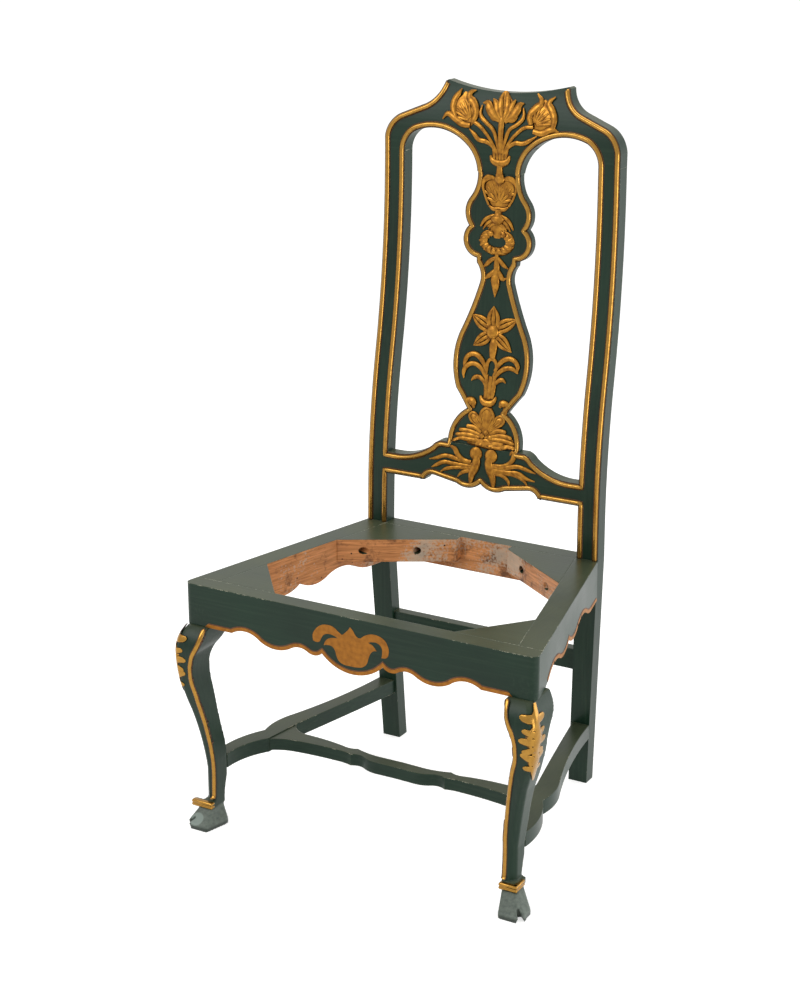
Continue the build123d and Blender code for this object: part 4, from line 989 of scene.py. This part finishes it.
def inner_edge(node, side, height):
    """How far from the middle of the chair the front face of a leg begins at this height."""
    for x in walk:
        found, _, normal, _ = wood[node].ray_cast((side * x, -1, height), (0, 1, 0))
        if found and normal.y < -0.4 and abs(normal.x) < 0.4:  # it faces forward, not to a side
            return x
    return usual_edge


for side, node in front_legs:
    stripe = [(side * (inner_edge(node, side, z / 1000) * 1000 + stripe_in), z) for z in stripe_heights]
    bpy.context.view_layer.update()
    for word, half, lift, finish in (("bole", stripe_half + bole_extra, 0, red_bole),
                                     ("gold", stripe_half, 0.0002, burnished_gold)):
        line = strokes_to_mesh(word + "_stripe_of_" + node, [[place + (half,) for place in stripe]])
        dressed(press_onto(line, legs[side], 0.08, lift), finish)
    leaf = [[(side * x, z, radius) for x, z, radius in stroke] for stroke in knee_leaf]
    leaf = press_onto(strokes_to_mesh("gold_leaf_of_" + node, leaf), legs[side], 0.07, 0.0002,
                      (side * knee_corner[0], knee_corner[1]), side * knee_turn)
    dressed(leaf, burnished_gold)
for side, node in front_legs:
    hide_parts(node)

# %% [markdown]
# The palmette is a flat shape with sharp corners between soft bows. Strokes would blur the corners, so it
# is one closed curve, filled like card, stood upright and pushed back onto the apron. A corner gets
# straight handles, and every other point automatic ones.

# %% Palmette of the apron
palmette = [  # its outline, in millimetres. The first point of each row is a sharp corner.
    [(-3, 353), (2, 348), (5, 343), (9, 340)],
    [(13, 339.5), (20, 345), (30, 349), (40, 349), (50, 345), (56, 336), (57, 327), (54, 320)],
    [(46, 318), (47, 326), (46, 333), (40, 338), (31, 338)],
    [(25, 336), (32, 333.5)],
    [(38.5, 326.5), (33, 325), (29, 321), (26, 314), (23, 305), (17, 299), (8, 296.5), (-3, 296),
     (-14, 296.5), (-21, 300), (-25, 307), (-27, 314), (-32, 319), (-40, 319.5)],
    [(-45, 318), (-42, 325), (-36, 330), (-29, 332)],
    [(-22, 332.5), (-30, 335.5), (-38, 336), (-45, 333), (-49, 327), (-52, 322), (-57, 320.5)],
    [(-62, 322), (-62.5, 330), (-58, 339), (-50, 346), (-40, 349), (-29, 347.5), (-21, 342)],
    [(-16, 339), (-13, 341), (-9, 345), (-6, 348)],
]
shape = new_drawing("gold_palmette_of_the_apron")
shape.data.dimensions = "2D"
shape.data.fill_mode = "BOTH"
shape.data.extrude = 0.0003  # to both sides
spline = shape.data.splines.new("BEZIER")
corners = [(x, z, i == 0) for row in palmette for i, (x, z) in enumerate(row)]
spline.bezier_points.add(len(corners) - 1)
spline.use_cyclic_u = True
spline.resolution_u = 5
for point, (x, z, is_sharp) in zip(spline.bezier_points, corners):
    point.co = (x / 1000, z / 1000, 0)
    point.handle_left_type = point.handle_right_type = "VECTOR" if is_sharp else "AUTO"
shape = converted(shape, "MESH")
for point in shape.data.vertices:  # stand it upright
    point.co = (point.co.x, -point.co.z, point.co.y)
dressed(press_onto(shape, wood["seat_rail_front"], 1), bronze_paint)
print(shape.name, "has", len(shape.data.polygons), "faces")

# %% [markdown]
# ## Gilt ankle bands
#
# Above each hoof the ankle carries a small gilt bar with two ridges and a groove between them. It is a
# block, cut across at three heights. The cuts become ridges when they are scaled out, and a groove when
# they are scaled in.

# %% Ankle bars
def ankle_bar(name, low, high):
    """A bar between two corners, with two ridges and a groove round it."""
    bar = block(name, low, high)
    bpy.ops.object.transform_apply(location=True, rotation=True, scale=True)
    middle = [(a + b) / 2 for a, b in zip(low, high)]
    for share, out in ((0.25, 0.0012), (0.5, -0.0006), (0.75, 0.0012)):
        height = low[2] + (high[2] - low[2]) * share
        cut_across(bar, (0, 0, height), (0, 0, 1))
        pick(bar, "VERT", lambda p: abs(p.co.z - height) < hair)
        grow = [1 + 2 * out / (b - a) for a, b in zip(low[:2], high[:2])]
        bpy.ops.transform.resize(value=(grow[0], grow[1], 1), center_override=middle)
        leave_edit()
    work(bar, "BEVEL", width=0.0008, segments=2)
    bpy.ops.object.shade_smooth_by_angle(angle=radians(40))
    dressed(bar, burnished_gold)


for name, x_low, x_high, y_low, y_high in (
        ("gilt_bar_left_ankle", -265, -232, -12.8, -6), ("gilt_bar_right_ankle", 231.5, 257, -8.5, -3),
        ("gilt_bar_right_ankle_side", 251, 257, -7, 16)):
    ankle_bar(name, (x_low / 1000, frame_front + y_low / 1000, hoof_top),
              (x_high / 1000, frame_front + y_high / 1000, hoof_top + 0.01))
print("ankle bars are on")

# %% [markdown]
# ## Clearing the bench
#
# The joined copy of the back was only there to drop things on, so it goes.

# %% Throw away the joined copy of the back
bpy.data.objects.remove(back_wood)
